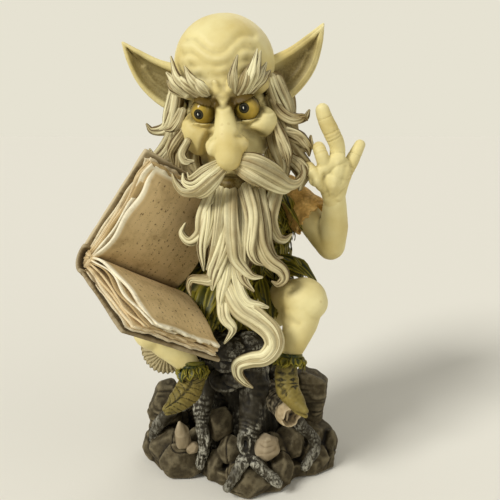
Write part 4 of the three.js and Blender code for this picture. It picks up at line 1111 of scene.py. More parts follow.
def tunic():
    random = np.random.RandomState(7)
    bm = bmesh.new()
    rows = np.array([(0, y, z) for z, _, _, y in BODY], float)
    widths = [ring[1] for ring in BODY]
    tube(bm, rows, widths, 44, 40, thick=0.72, up=FRONT, tone=0.1)
    for row, z in enumerate(np.arange(10, 95, 6.5)):
        for k in range(24):
            angle = 2 * math.pi * (k + 0.5 * (row % 2)) / 24 + random.uniform(-0.06, 0.06)
            start, way = on_body(angle, z + random.uniform(-1.5, 1.5), 0.2)
            length = random.uniform(10, 14)
            end = on_body(angle + random.uniform(-0.16, 0.16), z - length, random.uniform(0.6, 2.2))[0]
            leaf(bm, start, end, way, random.uniform(5, 7), 0.07, random.uniform(0, 1) ** 1.6, 0.3)
    for count, angles, heights in TUFTS:
        for _ in range(count):
            angle = math.radians(random.uniform(*angles))
            z = random.uniform(*heights)
            start, way = on_body(angle, z, random.uniform(1, 5))
            drift = angle + random.uniform(-0.25, 0.25)
            end = on_body(drift, z - random.uniform(7, 12), random.uniform(3, 7))[0]
            leaf(bm, start, end, way, random.uniform(3.6, 5.4), 0.1, random.uniform(0, 1), 0.3)
    obj = as_object("tunic", bm)
    show(obj, SEAT, "leaf", "tunic")


def hung_leaves(name, large):
    """Large leaves, given by path, width and face, with smaller ones tucked in between."""
    random = np.random.RandomState(sum(map(ord, name)))
    bm = bmesh.new()
    for points, width, face in large:
        points = spline(points, 5)
        leaf(bm, points[0], points[-1], face, width, 0.16, random.uniform(0.1, 0.6))
        for _ in range(4):
            start = Vector(points[random.randint(0, 3)]) + Vector(random.uniform(-4, 4, 3))
            end = start.lerp(Vector(points[-1]), random.uniform(0.5, 0.9)) + Vector(random.uniform(-5, 5, 3))
            leaf(bm, start, end, face, width * random.uniform(0.3, 0.5), 0.12, random.uniform(0, 1))
    obj = as_object(name, bm)
    show(obj, SEAT, "leaf", name)


def mirrored(points):
    return [(-x, y, z) for x, y, z in points]


def waist(degrees, z=33):
    """A point just off the tunic, where a skirt leaf starts."""
    return on_body(math.radians(degrees), z, 1)[0]


def skirts_and_collars():
    hung_leaves("skirt_left", [
        ([waist(-58), (19, -22, 26), (24, -31, 20), (21, -38, 11)], 15, (0.2, -0.7, 0.7)),
        ([waist(-25, 34), (36, -8, 30), (45, -12, 22), (49, -14, 9)], 15, (0.8, -0.2, 0.5)),
        ([waist(18), (36, 18, 20), (41, 19, 6), (43, 21, -6)], 15, (1, 0.3, 0.2)),
        ([(27, -10, 50), (37, -17, 48), (45, -20, 41), (51, -22, 31)], 9, (0.3, -0.5, 0.8)),
        ([(24, -14, 44), (31, -22, 43), (36, -28, 44), (43, -30, 40)], 8, (0.1, -0.5, 0.9)),
    ])
    hung_leaves("skirt_right", [
        ([waist(238), (-19, -20, 26), (-26, -27, 18), (-27, -31, 8)], 15, (-0.2, -0.8, 0.6)),
        ([waist(208, 34), (-37, -5, 29), (-47, -6, 23), (-53, -6, 11)], 15, (-0.5, -0.5, 0.7)),
        ([waist(162), (-36, 18, 20), (-41, 19, 6), (-43, 21, -6)], 15, (-1, 0.3, 0.2)),
        ([(-22, -8, 42), (-29, -12, 34), (-34, -15, 26), (-38, -17, 16)], 13, (-0.3, -0.9, 0.3)),
        ([(-9, -18, 34), (-14, -24, 24), (-17, -28, 12), (-18, -29, 1)], 15, (-0.1, -0.9, 0.3)),
        ([(-14, -16, 36), (-20, -24, 27), (-23, -29, 15), (-25, -31, 4)], 14, (-0.2, -0.9, 0.3)),
        ([(-24, -2, 44), (-33, -4, 36), (-40, -6, 26), (-44, -8, 14)], 14, (-0.4, -0.8, 0.4)),
    ])
    hung_leaves("skirt_back", [
        ([waist(a), (x, 35, 20), (x * 1.1, 36, 5), (x * 1.1, 36, -11)], 15, (0, 1, 0.1))
        for a, x in ((58, 18), (90, 0), (122, -18))
    ])
    collar = [
        ([(12, -4, 96), (24, -8, 93), (36, -10, 82), (40, -12, 66)], 13, (0.6, -0.4, 0.7)),
        ([(12, 14, 97), (24, 20, 91), (36, 22, 79), (40, 22, 64)], 13, (0.6, 0.5, 0.6)),
    ]
    hung_leaves("collar_left", collar)
    hung_leaves("collar_right", [
        (mirrored(path), width, mirrored([face])[0]) for path, width, face in collar
    ])


# Arms and hands.
SHOULDER, HEM = Vector((34, 6, 86)), Vector((51, -3, 70))
ELBOW, WRIST = Vector((61, -5, 55)), Vector((60.6, -21, 89))
SHOULDER_RIGHT, HEM_RIGHT = Vector((-34, 6, 86)), Vector((-49, 8, 69))
ELBOW_RIGHT = Vector((-63, 10, 52))
PALM = Vector((BOOK_LENGTH * 0.42, BOOK_WIDTH * 0.36, BLOCK_THICKNESS + BOARD_THICKNESS + 9))
GRIP = UPPER_HALF @ PALM - Vector((0, 0, SEAT_HEIGHT))


def sleeve(name, shoulder, hem):
    """A cloth sleeve, creased across and frayed at its hem."""
    way = (hem - shoulder).normalized()
    side = way.cross(Vector(FRONT)).normalized()
    lift = side.cross(way)
    bm = bmesh.new()
    wash_shade_and_highlight, tones = layer(bm, "wash_shade_and_highlight"), layer(bm, "tone")
    grid = bmesh.ops.create_grid(bm, x_segments=72, y_segments=30, size=0.5)["verts"]
    length = (hem - shoulder).length + 4
    for vert in grid:
        turn, run = 2 * math.pi * vert.co.x, vert.co.y + 0.5
        folds = math.sin(5 * turn + 4 * run) * 0.7 * run + 0.6 * math.sin(17 * run + 2 * math.sin(turn))
        ragged = (1.3 * math.sin(13 * turn) + 1.1 * math.sin(29 * turn + 1)) * max(0, run - 0.75) * 4
        flare = 12 - 3.4 * (1 - run) ** 2 + run**3 + folds * 0.5
        centre = shoulder + way * (-8 + length * run + ragged * 0.6)
        vert.co = centre + (side * math.cos(turn) + lift * math.sin(turn)) * flare
        vert[wash_shade_and_highlight] = -0.45 * folds - 0.5 * max(0, run - 0.9) * 6
        vert[tones] = 0.5 + 0.3 * math.sin(9 * turn)
    bmesh.ops.remove_doubles(bm, verts=grid, dist=1e-3)
    bmesh.ops.solidify(bm, geom=bm.faces[:], thickness=1.4)
    blob(bm, shoulder - way * 4, (12.5, 12.5, 12.5))
    obj = as_object(name, bm)
    show(obj, SEAT, "sleeve", name)


def arm_left():
    def forms(bm):
        tube(bm, [SHOULDER.lerp(HEM, 0.5), ELBOW], [9, 9.4], 24, 14)
        tube(bm, [ELBOW, ELBOW.lerp(WRIST, 0.45) + Vector((1, 1, 0)), WRIST], [9.4, 9.2, 6.8], 24, 20)
    obj = clay("arm_left", forms, 0.7, 8)
    displace(obj, lambda co, normals: 0.15 * noise(co, 4, 2))
    weather(obj, 0.6, 2.0)
    show(obj, SEAT, "skin", "arm_left")


def arm_right():
    def forms(bm):
        wrist = ELBOW_RIGHT.lerp(GRIP, 0.7)
        tube(bm, [SHOULDER_RIGHT.lerp(HEM_RIGHT, 0.8), ELBOW_RIGHT], [9, 9.4], 24, 14)
        tube(bm, [ELBOW_RIGHT, ELBOW_RIGHT.lerp(wrist, 0.5), wrist], [9.4, 9, 6.8], 24, 14)
    obj = clay("arm_right", forms, 0.8, 8)
    weather(obj, 0.2, 1.2)
    show(obj, SEAT, "skin", "arm_right")


# The raised finger, the thumb and the two curled fingers: path and radii.
DIGITS = [
    ([(2.7, 0, 4), (2.3, -1.5, 15.5), (-1.2, -3, 23), (-5.6, -4, 31.5), (-7.4, -4, 36.7)],
     [4.8, 4.7, 5.1, 4.7, 4.2]),
    ([(3.6, 2, -14), (6.8, 2, -3), (12.4, 2.5, 7.5), (16.7, 3.5, 16.2)], [5.2, 5, 4.3, 3.4]),
    ([(-4.5, -3, 2), (-6.6, -5.5, 8), (-8.4, -5, 13), (-8.7, 0, 14.6), (-7.6, 6, 11)],
     [4.4, 4.2, 4, 3.8, 3.2]),
    ([(-7.5, -3, -6), (-11.4, -5.5, -1.2), (-13.8, -4.5, 2), (-14.2, 0, 3), (-12.5, 6, 0.5)],
     [4.2, 3.8, 3.5, 3.4, 2.9]),
]
KNUCKLES = [(-10.4, -4.6, -4), (-5.6, -4.6, 3), (2.8, -3.4, 8)]
# Tendons and hollows on the back of the hand, seen flat: line, width, rise.
TENDONS = [
    ([(-10.5, 0, -4), (-8, 0, -11), (-4.5, 0, -17)], 1.7, 0.5),
    ([(-6, 0, -1), (-4.5, 0, -8), (-2, 0, -14)], 1.6, -0.8),
    ([(2, 0, 6), (0.5, 0, -3), (0, 0, -12)], 1.8, 0.45),
    ([(7.5, 0, 4), (5, 0, -6)], 1.8, -0.6),
]


def hand_left():
    """The raised hand, its back to the viewer: one finger points up, two are curled."""
    def forms(bm):
        blob(bm, (-1, 0, -4), (11, 8, 9.5))
        blob(bm, (2.5, -1, 1.5), (9, 7.2, 9))
        tube(bm, [(2.6, 6, -19), (1, 4, -13), (-0.5, 1, -5)], [6.6, 7, 9], 20, 12)
        tube(bm, KNUCKLES, [3.8, 4.4, 4.8], 18, 16)
        for place in KNUCKLES:
            blob(bm, place, [4.5] * 3, detail=(16, 10))
        for path, radii in DIGITS:
            tube(bm, path, radii, 18, 24)
    obj = clay("hand_left", forms, 0.45, 7)

    def wrinkles(co, normals):
        height = 0.08 * noise(co, 2, 3)
        for path, _ in DIGITS:
            stations = spline(path, 60)
            nearest = np.argmin(((co[:, None, :] - stations[None]) ** 2).sum(2), axis=1) / 59
            close = np.min(np.linalg.norm(co[:, None, :] - stations[None, ::6], axis=2), axis=1) < 7
            for joint in (0.42, 0.48, 0.54, 0.78):
                height -= 0.24 * np.exp(-((nearest - joint) / 0.016) ** 2) * close
        front = np.clip(-1.6 * normals[:, 1], 0, 1)
        for line, width, rise in TENDONS:
            height += rise * front * np.exp(-(distance_to(co * (1, 0, 1), line) / width) ** 2)
        return height
    displace(obj, wrinkles)
    weather(obj, 0.5, 1.6)
    show(obj, HAND, "skin", "hand_left")


def hand_right():
    """The hand behind the book, its fingers spread over the board."""
    def forms(bm):
        blob(bm, GRIP, (12, 10, 12))
        tube(bm, [ELBOW_RIGHT.lerp(GRIP, 0.6), GRIP], [6.8, 8], 20, 10)
        for tip in ((-16, -13, 12), (-6, -8, 17), (4, -3, 17)):
            end = GRIP + Vector(tip)
            middle = GRIP + Vector((tip[0] * 0.6, tip[1] * 0.4, tip[2] * 0.7))
            tube(bm, [GRIP, middle, end], [5, 4.6, 3.6], 16, 14)
            blob(bm, middle, (5, 5, 5), detail=(16, 10))
    obj = clay("hand_right", forms, 0.6, 6)
    weather(obj, 0.2, 0.9)
    show(obj, SEAT, "skin", "hand_right")


# Head, in its own frame: the face looks to -Y.
EYE_SPOT = Vector((12.4, -30.2, -2.2))
EYE_RADIUS = 7.7
GAZES = {1: Vector((-0.2, -0.97, -0.06)), -1: Vector((-0.36, -0.9, -0.27))}
# Wrinkles of the forehead and lines of the face, as paths in x and z. A line also has a width and a depth.
WRINKLES = [
    [(-19, 37), (-14, 37), (-8, 32), (-3, 29.5), (3, 30), (8, 34), (13, 37), (19, 36)],
    [(-22, 30), (-16, 30), (-9, 25), (-3, 22.5), (3, 23), (8, 27), (13, 30.5), (19, 29)],
    [(-17, 24), (-12, 22.5), (-6, 18.5), (0, 17), (5, 19), (10, 23.5), (15, 24)],
    [(-12, 17), (-7, 13.5), (0, 12), (6, 14)],
]
FACE_LINES = [
    ([(10, -14), (14, -16), (19, -20), (22, -27)], 2.4, 1.2),
    ([(-10, -15), (-13, -20), (-15, -28), (-16, -38)], 2.2, 1.1),
    ([(-5, 3), (0, 1), (5, 3)], 1.4, 0.8),
    ([(22, -1), (26, 0), (29, 2)], 1.0, 0.5),
    ([(22, -5), (26, -6), (29, -6)], 1.0, 0.5),
    ([(-22, -1), (-26, 0), (-29, 2)], 1.0, 0.5),
    ([(-22, -5), (-26, -6), (-29, -6)], 1.0, 0.5),
]
NOSE_WING = [(6.5, -52, -14), (11, -47, -13.5), (13.5, -41, -18), (13, -40, -24)]
# Where the paint is darker, as painted shade and washed-in paint: place, reach and, but for the ears,
# strength. Sockets and ears are mirrored.
EAR_SHADE_AND_WASH = [(33, 7, 6, 8), (38, 7, 10, 8), (44, 7, 14, 8), (49, 8, 20, 7.5), (54, 9, 27, 5.5)]
MOUTH_SHADOW_AND_WASH = [
    ((0, -41, -40.2), 3, 2), ((-7, -39, -40), 3, 1.9), ((7, -39, -40), 3, 1.9), ((0, -43, -45), 6, 1.3),
    ((-8, -40, -44), 6, 1.3), ((8, -40, -44), 6, 1.3),
]
SOCKET_SHADE_AND_WASH = [
    ((13, -39, 6), 7, 2), ((6.5, -38, 2), 5, 1.9), ((20, -34, 4), 6, 1.8), ((5.5, -37, -5), 4, 1.5),
    ((21, -30, -3), 4, 1), ((11, -38, -10.5), 3.4, 0.7), ((12, -45, -15), 3, 0.9), ((28, -8, -4), 12, 0.8),
    ((7, -41, -9), 5, 0.45), ((9, -43, -28), 5, 0.8), ((25, -21, 5), 9, 0.4), ((24, -26, -25), 8, 0.5),
]
FOLD_SHADE_AND_WASH = [((15, -37, -18), 4, 2), ((20, -35, -21), 4.5, 1.8), ((-14, -40, -24), 4, 1.2)]
# The left ear's outline in x and z.
EAR = [(22, 17), (40, 24), (52, 31), (62, 38), (60, 28), (56, 16), (50, 7), (41, -1), (30, -6), (22, -4)]


def eye_centre(s):
    """The middle of the left eye for 1, and of the right one for -1."""
    return Vector((s * EYE_SPOT.x, EYE_SPOT.y, EYE_SPOT.z))


def dome(bm, centre, radius, way, share):
    """The cap of a ball past a plane that lies `share` of its radius from its middle."""
    way = Vector(way).normalized()
    for vert in blob(bm, centre, [radius] * 3, detail=(40, 28)):
        vert.co += way * max(0, share * radius - (vert.co - centre).dot(way))


def head():
    def skull(bm):
        blob(bm, (0, 4, 20), (31, 36, 30))
        blob(bm, (0, -22, 9), (27, 13, 9))
        blob(bm, (0, -8, -14), (27, 28, 30))
        blob(bm, (0, -16, -40), (19, 19, 16))
        tube(bm, [(0, 2, -38), (6, 12, -58)], [17, 15], 24, 8)
        tube(bm, [(0, -33, 4), (0, -41, -6), (0.4, -47.5, -17), (0.9, -50, -26)], [5.2, 5.8, 7.6, 8], 22, 16)
        blob(bm, (18.5, -25.5, -11.5), (11.5, 10.5, 9.5))
        blob(bm, (-17, -27, -15), (11, 9.5, 13))
        for s in (-1, 1):
            blob(bm, (7 * s, -46, -20), (5.6, 7, 6), detail=(20, 12))
    obj = clay("head", skull, 1.0, 8)

    def sockets(co, normals):
        moved = np.zeros_like(co)
        for s in (-1, 1):
            off = (co - np.array(eye_centre(s))) / (9, 14, 9)
            near = np.exp(-(np.linalg.norm(off, axis=1)) ** 4)
            moved[:, 1] += 8 * near
        return moved
    displace(obj, sockets)

    def features(bm):
        for s in (-1, 1):
            centre = eye_centre(s)
            dome(bm, centre, EYE_RADIUS + 1.2, (-0.3 * s, -0.1, 0.93), 0.56)
            dome(bm, centre, EYE_RADIUS + 1.0, (0.1 * s, 0, -1), 0.74)
            blob(bm, (3 * s, -33.6, 8), (2.8, 2.4, 7.5), (0, 0.2 * s, 0), detail=(14, 10))
            blob(bm, (4.4 * s, -33, 2.5), (3.2, 3.2, 5), detail=(14, 10))
        tube(bm, [(-10, -35, -43), (0, -40, -44.6), (10, -35, -43)], [2.6, 3.8, 2.6], 16, 12)
        tube(bm, [(-9, -35, -37.4), (0, -39, -37), (9, -35, -37.4)], [1.6, 2.0, 1.6], 12, 12)
        blob(bm, (0, -24, -45), (16, 14, 12))
    add_forms(obj, features, 0.6, 5)

    def lines(co, normals):
        flat = co * (1, 0, 1)
        front = np.clip(-normals[:, 1] * 2, 0, 1)
        height = 0.05 * noise(co, 2.4, 1) + 0.3 * noise(co, 9, 2)
        for path in WRINKLES:
            height += furrow(distance_to(flat, [(x, 0, z) for x, z in path]), 2.3, 0.7) * front
        for path, width, depth in FACE_LINES:
            height += furrow(distance_to(flat, [(x, 0, z) for x, z in path]), width, depth) * front
        for s in (-1, 1):
            wing = distance_to(co, [(s * x, y, z) for x, y, z in NOSE_WING])
            nostril = np.linalg.norm((co - np.array((6 * s, -46, -27))) / (3, 3.4, 2.6), axis=1)
            height -= np.exp(-((wing / 1.8) ** 2)) + 3 * np.exp(-(nostril**2))
        return height
    displace(obj, lines)
    weather(obj, 0.55, 1.9)
    # Painted shade and washed-in paint at the mouth under the moustache, in the sockets under the brow,
    # beside the nose, under the cheeks and in the folds.
    sockets_shade_and_wash = [
        ((s * x, y, z), reach, strength) for s in (-1, 1) for (x, y, z), reach, strength in SOCKET_SHADE_AND_WASH
    ]
    shade(obj, *MOUTH_SHADOW_AND_WASH, *sockets_shade_and_wash, *FOLD_SHADE_AND_WASH)
    show(obj, HEAD, "skin", "head")


def ear(name, s):
    """A pointed ear: a thick rim round a hollow with a fold in it."""
    rim = [Vector((s * x, 4 + 0.16 * (x - 22), z)) for x, z in EAR]

    def forms(bm):
        ring = [bm.verts.new(p + Vector((0, 1, 0))) for p in rim]
        face = bm.faces.new(ring)
        bmesh.ops.inset_region(bm, faces=[face], thickness=0.5, use_even_offset=True)
        bmesh.ops.triangulate(bm, faces=bm.faces[:])
        bmesh.ops.solidify(bm, geom=bm.faces[:], thickness=4)
        bmesh.ops.recalc_face_normals(bm, faces=bm.faces)
        tube(bm, rim[:4], [3.4, 2.2, 1.7, 0.9], 14, 30)
        tube(bm, [rim[3], *rim[4:]], [0.9, 1.5, 1.7, 1.9, 2.2, 2.6, 3.2], 14, 40)
        blob(bm, (s * 26, 7, 6), (8, 7, 11))
    obj = clay(name, forms, 0.55, 5)

    def scoop(co, normals):
        flat = co * (1, 0, 1)
        edge = distance_to(flat, [(p.x, 0, p.z) for p in rim])
        front = np.clip(-normals[:, 1] * 2, 0, 1)
        fold = distance_to(flat, [(s * 30, 0, 2), (s * 38, 0, 6), (s * 46, 0, 13), (s * 51, 0, 22)])
        deep = 3.6 * np.clip((edge - 2.2) / 5, 0, 1) ** 0.7 - 1.7 * np.exp(-((fold / 1.5) ** 2))
        return np.array([[0.0, 1, 0]]) * (deep * front * (s * co[:, 0] > 27))[:, None]
    displace(obj, scoop)
    weather(obj, 0.5, 1.6)
    # Painted shade and washed-in paint in the ear's hollow.
    shade(obj, *(((s * x, y, z), reach, 1.0) for x, y, z, reach in EAR_SHADE_AND_WASH))
    show(obj, HEAD, "skin", name)


def eye(name, s):
    """A glazed eyeball that looks down at the book."""
    centre = eye_centre(s)
    bm = bmesh.new()
    blob(bm, centre, [EYE_RADIUS] * 3, turn=(math.radians(90), 0, 0), detail=(64, 48))
    obj = as_object(name, bm)
    way = unit(points_of(obj.data) - np.array(centre))
    look = (HEAD.to_3x3().inverted() @ GAZES[s]).normalized()
    angle = np.arccos(np.clip(way @ np.array(look), -1, 1))
    set_value(obj, "gaze", angle)
    right = look.cross(Vector(UP)).normalized()
    over = right.cross(look)
    glint = np.hypot((way @ np.array(right) - 0.03) / 0.05, (way @ np.array(over) - 0.02) / 0.12)
    set_value(obj, "glint", np.where(angle < 1, glint, 9))
    set_value(obj, "tone", np.clip(0.5 - 0.9 * s * way[:, 0], 0, 1))
    # Painted shade: the eyeball is darker towards its rim and over its top, under the lid and brow.
    edge = np.arccos(np.clip(-way[:, 1], -1, 1))
    set_value(obj, "wash_shade_and_highlight", np.clip((edge - 0.6) * 1.3 + 0.9 * np.clip(way[:, 2] - 0.1, 0, 1), 0, 1.2))
    show(obj, HEAD, "eye", name)


# Hair in combed locks.
def lock(bm, random, points, radii, strands, tones, loose):
    """One lock: a broad combed body with strands half sunk in it. `loose` is how far they stray."""
    stations = 3 * len(points)
    points, radii = spline(points, stations), evenly(radii, stations)
    _, _, side, face = rail(points, stations)
    tone = random.uniform(*tones)
    fine = flutes(random.randint(6, 10), random.uniform(0, 6), random.uniform(0.8, 2.4), 1.2)
    # The body gets painted shade along its sides and all over, more the greyer it is; each strand gets
    # painted shade at its sides and more the darker it is.
    tube(bm, points, radii, 28, 2 * stations + 6, relief=fine, thick=0.72, tone=tone, depth=0.14, edge=1.0,
         contrast=0.9, sunk=0.5 + 0.9 * tone)
    for k in range(strands):
        place = (k + random.uniform(-0.3, 0.3) - (strands - 1) / 2) / (strands / 2)
        last = stations - random.randint(0, 1 + stations // 5)
        own = evenly(radii, last)
        stray = loose * np.sin(np.linspace(0, random.uniform(2, 5), last) + random.uniform(0, 6))
        across = np.clip(0.8 * place + stray, -0.95, 0.95)
        thick = random.uniform(0.22, 0.5)
        rise = 0.72 * np.sqrt(1 - across**2) - thick * random.uniform(0.35, 0.75)
        path = points[:last] + side[:last] * (own * across)[:, None] + face[:last] * (own * rise)[:, None]
        grooves = flutes(random.randint(2, 4), random.uniform(0, 6), random.uniform(0.6, 1.8), 1.5)
        shade_of = np.clip(tone + random.uniform(-0.45, 0.25), 0, 1)
        tube(bm, path, np.maximum(own * thick, 0.35), 10, 2 * last + 4, relief=grooves, depth=0.18, edge=0.45,
             tone=shade_of, contrast=0.5, sunk=0.9 * shade_of - 0.2)


def hair(name, *parts):
    """A hair casting from parts, each given by its frame, locks, strands, tones and looseness."""
    random = np.random.RandomState(sum(map(ord, name)))
    bm = bmesh.new()
    for place, locks, strands, tones, loose in parts:
        for points, radii in locks:
            placed = [place @ Vector(p) for p in points]
            lock(bm, random, placed, radii, strands, tones, loose)
    obj = as_object(name, bm)
    show(obj, GROUND, "hair", name)


def flipped(locks):
    return [(mirrored(points), radii) for points, radii in locks]


def swept(*hairs):
    """Brow hairs from the base, middle and tip of each, rooted in the skin."""
    return [([(x, y + 5, z), middle, tip], [2.4, 3, 0.6]) for (x, y, z), middle, tip in hairs]


# Locks: path and radii. The brows, moustache and beard follow the photo's larger locks.
BROW_LEFT = swept(
    [(-1.7, -46, 251), (-1.7, -46.5, 260), (1, -45, 271)],
    [(1, -46, 251), (5, -46, 259), (8, -42, 267)],
    [(3.7, -46, 251), (8.5, -45, 262), (12, -39, 275)],
    [(5, -46, 250.5), (11, -44, 262), (14, -38, 274)],
    [(6.5, -45, 251), (13.3, -42, 260), (17.4, -35, 268)],
    [(7.8, -45, 252), (15.3, -39.5, 259), (19.8, -32, 264)],
)
BROW_RIGHT = swept(
    [(-16, -46, 251), (-20, -46, 255), (-26, -38, 261)],
    [(-18, -45.5, 250.5), (-25, -43.5, 258), (-29.5, -35, 266)],
    [(-21, -44.5, 250.5), (-29, -41, 256.5), (-35.4, -28, 263)],
    [(-23.6, -43.5, 250.5), (-33, -38, 259), (-38, -28, 272)],
    [(-27.7, -41, 250.5), (-35, -36, 256.5), (-41, -27, 263)],
    [(-30.4, -38, 250.5), (-36.5, -34, 254.5), (-40.6, -28, 258.7)],
)
MOUSTACHE_LEFT = [
    ([(1, -51, 213), (10, -57, 211), (22.3, -50, 204), (29.6, -45, 199.6), (35.4, -42, 200), (39, -40, 205),
      (38.3, -39, 210)], [2.8, 4, 4.2, 3.6, 2.8, 1.8, 0.7]),
    ([(0.5, -51, 211), (9, -57, 206), (19, -51, 200), (27.5, -45, 196.6), (33.3, -42, 197.6)],
     [2.6, 3.6, 3.6, 2.8, 0.8]),
    ([(2, -51, 216), (12, -55, 215), (22.4, -48, 209), (29, -43, 203.6)], [2.4, 3.2, 3, 0.9]),
    ([(0, -51, 210), (7, -57, 205), (14, -53, 200.6), (21, -48, 198)], [2.2, 2.6, 2.4, 0.8]),
]
MOUSTACHE_RIGHT = [
    ([(-6, -51, 211), (-14.6, -58, 203), (-22.3, -54, 197), (-29.5, -51, 196.4), (-34, -49, 200.5),
      (-36.2, -48, 205.6)], [2.6, 3.8, 3.9, 3.2, 2.2, 0.8]),
    ([(-6, -51, 212), (-15.4, -58, 206), (-23.2, -55, 200.6), (-28.8, -52, 201.4), (-30, -50, 206)],
     [2.4, 3.2, 3, 2.2, 0.7]),
    ([(-7, -51, 213), (-17.4, -57, 209), (-25, -53, 204), (-27.4, -51, 206.6)], [2, 2.6, 2.2, 0.7]),
    ([(-6, -51, 210), (-12.4, -57, 201), (-19, -54, 195), (-25.4, -52, 193.6)], [2.2, 3, 2.6, 0.8]),
]
CHEEK_HAIR_LEFT = [
    ([(21.5, -26, 247.7), (27, -29, 240), (33.6, -29, 236.5), (39.4, -28, 237.5), (42, -27, 236)],
     [2.6, 3.4, 3.2, 2.4, 0.7]),
    ([(22.8, -32, 233.7), (27, -36, 225), (29.8, -38, 217), (30.6, -38, 209)], [2.8, 3.8, 3.4, 0.8]),
    ([(29.5, -28, 229), (37.5, -28, 226), (42.4, -27, 220), (43.7, -26, 215)], [3.2, 4, 3, 0.8]),
    ([(30, -32, 215), (37.4, -33, 210), (40, -33, 205), (35.4, -32, 199.5)], [3.2, 4, 3, 0.8]),
    ([(26, -20, 222), (34, -21, 214), (40, -20, 205), (39, -19, 194)], [5, 6.5, 6, 1.5]),
]
CHEEK_HAIR_RIGHT = [
    ([(-31.4, -30, 241), (-34, -33, 235), (-38, -32, 231), (-42, -30, 230)], [2.6, 3.2, 2.6, 0.8]),
    ([(-30.6, -34, 229), (-35.3, -37, 222.7), (-38, -36, 217), (-37.3, -35, 210.6)], [2.8, 3.6, 3, 0.8]),
    ([(-28, -40, 224), (-31.4, -42, 217), (-29.3, -43, 212.5), (-24.3, -44, 212.6)], [2.2, 2.8, 2.4, 0.7]),
    ([(-24, -22, 226), (-28, -25, 216), (-26, -26, 206), (-19, -27, 196)], [5, 6.5, 6, 2]),
]
SIDE_HAIR = [
    ([(28, -12, 10), (32, -17, -4), (37, -18, -12), (46, -17, -13), (49, -17, -9)],
     [4.4, 5.4, 4.4, 2.6, 0.8]),
    ([(28, -12, 0), (32, -18, -14), (38, -20, -24), (47, -20, -30), (49, -19, -24)],
     [4.4, 5.6, 4.6, 2.8, 0.8]),
    ([(28, -12, -6), (33, -18, -22), (40, -20, -34), (47, -19, -44), (44, -19, -50)],
     [4.4, 5.6, 4.8, 2.8, 0.8]),
    ([(26, -14, -10), (28, -21, -26), (32, -22, -40), (30, -22, -50)], [5, 6, 4.6, 0.9]),
    ([(30, -4, -2), (33, -6, -18), (36, -7, -32), (42, -6, -46)], [6, 7, 5, 0.9]),
    ([(30, -8, 4), (33, -11, -12), (34, -14, -30), (38, -14, -42)], [6, 7, 5, 0.9]),
    ([(30, 2, 8), (35, 2, -10), (37, 0, -30), (34, 0, -52)], [6, 7, 6, 1]),
]
BACK_HAIR = [
    ([(30, 12, 12), (34, 16, -8), (34, 18, -30), (38, 20, -50)], [6, 8, 7, 0.9]),
    ([(25, 23, 14), (29, 27, -8), (30, 28, -34), (33, 30, -58)], [7, 9, 8, 0.9]),
    ([(19, 31, 16), (22, 35, -8), (23, 36, -32), (24, 39, -58)], [8, 10, 9, 0.9]),
    ([(10, 36, 18), (12, 40, -6), (12, 40, -34), (10, 43, -62)], [8, 10, 9, 0.9]),
]
NAPE = [([(0, 38, 20), (0, 42, -6), (1, 41, -34), (2, 44, -64)], [8, 10, 9, 0.9])]
BEARD_HEART = [([(2, -27, 184), (2, -33, 170), (0, -41, 154), (-2, -47, 138)], [14, 13.5, 10.5, 6])]
BEARD_UNDER = [
    ([(-15, -37, 195), (-16, -50, 178.5), (-19.5, -52, 163), (-19, -52, 150)], [4, 4.4, 3.8, 0.7]),
    ([(-3, -40, 195), (-6, -54, 169), (-12, -56, 150), (-14, -55, 139)], [4, 4.4, 3.8, 0.7]),
    ([(-8, -40, 196), (-10, -52, 176), (-13, -54, 160), (-17, -54, 151)], [3.6, 4, 3.4, 0.7]),
    ([(14, -37, 196), (17, -48, 178), (18, -50, 166), (22, -50, 158), (27, -49, 157)],
     [3.8, 4, 3.6, 2.4, 0.7]),
    ([(2, -40, 192), (3, -54, 172), (2, -57, 158), (4, -58, 146), (10, -58, 139)], [3.6, 4, 3.6, 2.8, 0.7]),
    ([(-4, -50, 165), (-6, -55, 148), (-9, -56, 134), (-8, -57, 124)], [3.6, 3.8, 3, 0.7]),
]
BEARD = [
    ([(23, -37, 196), (19, -42, 180), (23, -42, 169), (28.5, -40, 166), (33, -38, 169)],
     [4, 4.5, 3.6, 2.6, 0.7]),
    ([(10, -40, 194), (12.8, -52, 178), (14.5, -54, 166), (19, -54, 157), (26, -53, 151), (28, -53, 145.5),
      (24.5, -53, 142), (21, -53, 143.5)], [4, 4.6, 4.6, 4.4, 4, 3.2, 2.2, 0.7]),
    ([(4.5, -40, 198), (9, -53, 183.5), (9, -56, 173), (8.4, -57, 163.5), (11, -57, 157), (15.6, -56, 154)],
     [3.4, 3.8, 3.8, 3.4, 2.4, 0.7]),
    ([(-2.7, -40, 197), (-2.5, -54, 181), (-1.4, -58, 167), (0.2, -58, 158), (5.7, -58, 151), (10, -58, 148),
      (15, -57, 147.3)], [3.6, 4.2, 4.4, 4, 3, 2, 0.7]),
    ([(0, -53, 158), (0.1, -55, 148.5), (2.3, -57, 139), (6.7, -58, 132.6), (13.4, -58, 131),
      (18.5, -57, 129)], [3, 3.6, 3.4, 3, 2, 0.7]),
    ([(-6, -50, 150), (-7.6, -54, 133), (-6.9, -57, 123), (-2.2, -58, 116), (-7, -57, 107)],
     [4, 4.2, 3.8, 2.8, 0.7]),
    ([(-13, -37, 198), (-19, -47, 182), (-20.5, -49, 172), (-27, -49, 167), (-31.8, -48, 171.5),
      (-29.7, -47, 177)], [4, 4.6, 4.2, 3, 2, 0.7]),
    ([(-5, -40, 192), (-8, -51, 175), (-11, -54, 159), (-14.3, -54, 146), (-20, -54, 145), (-26, -53, 145),
      (-28, -52, 140), (-27, -52, 135)], [4, 4.4, 4.6, 4.2, 3.4, 2.6, 1.8, 0.7]),
]
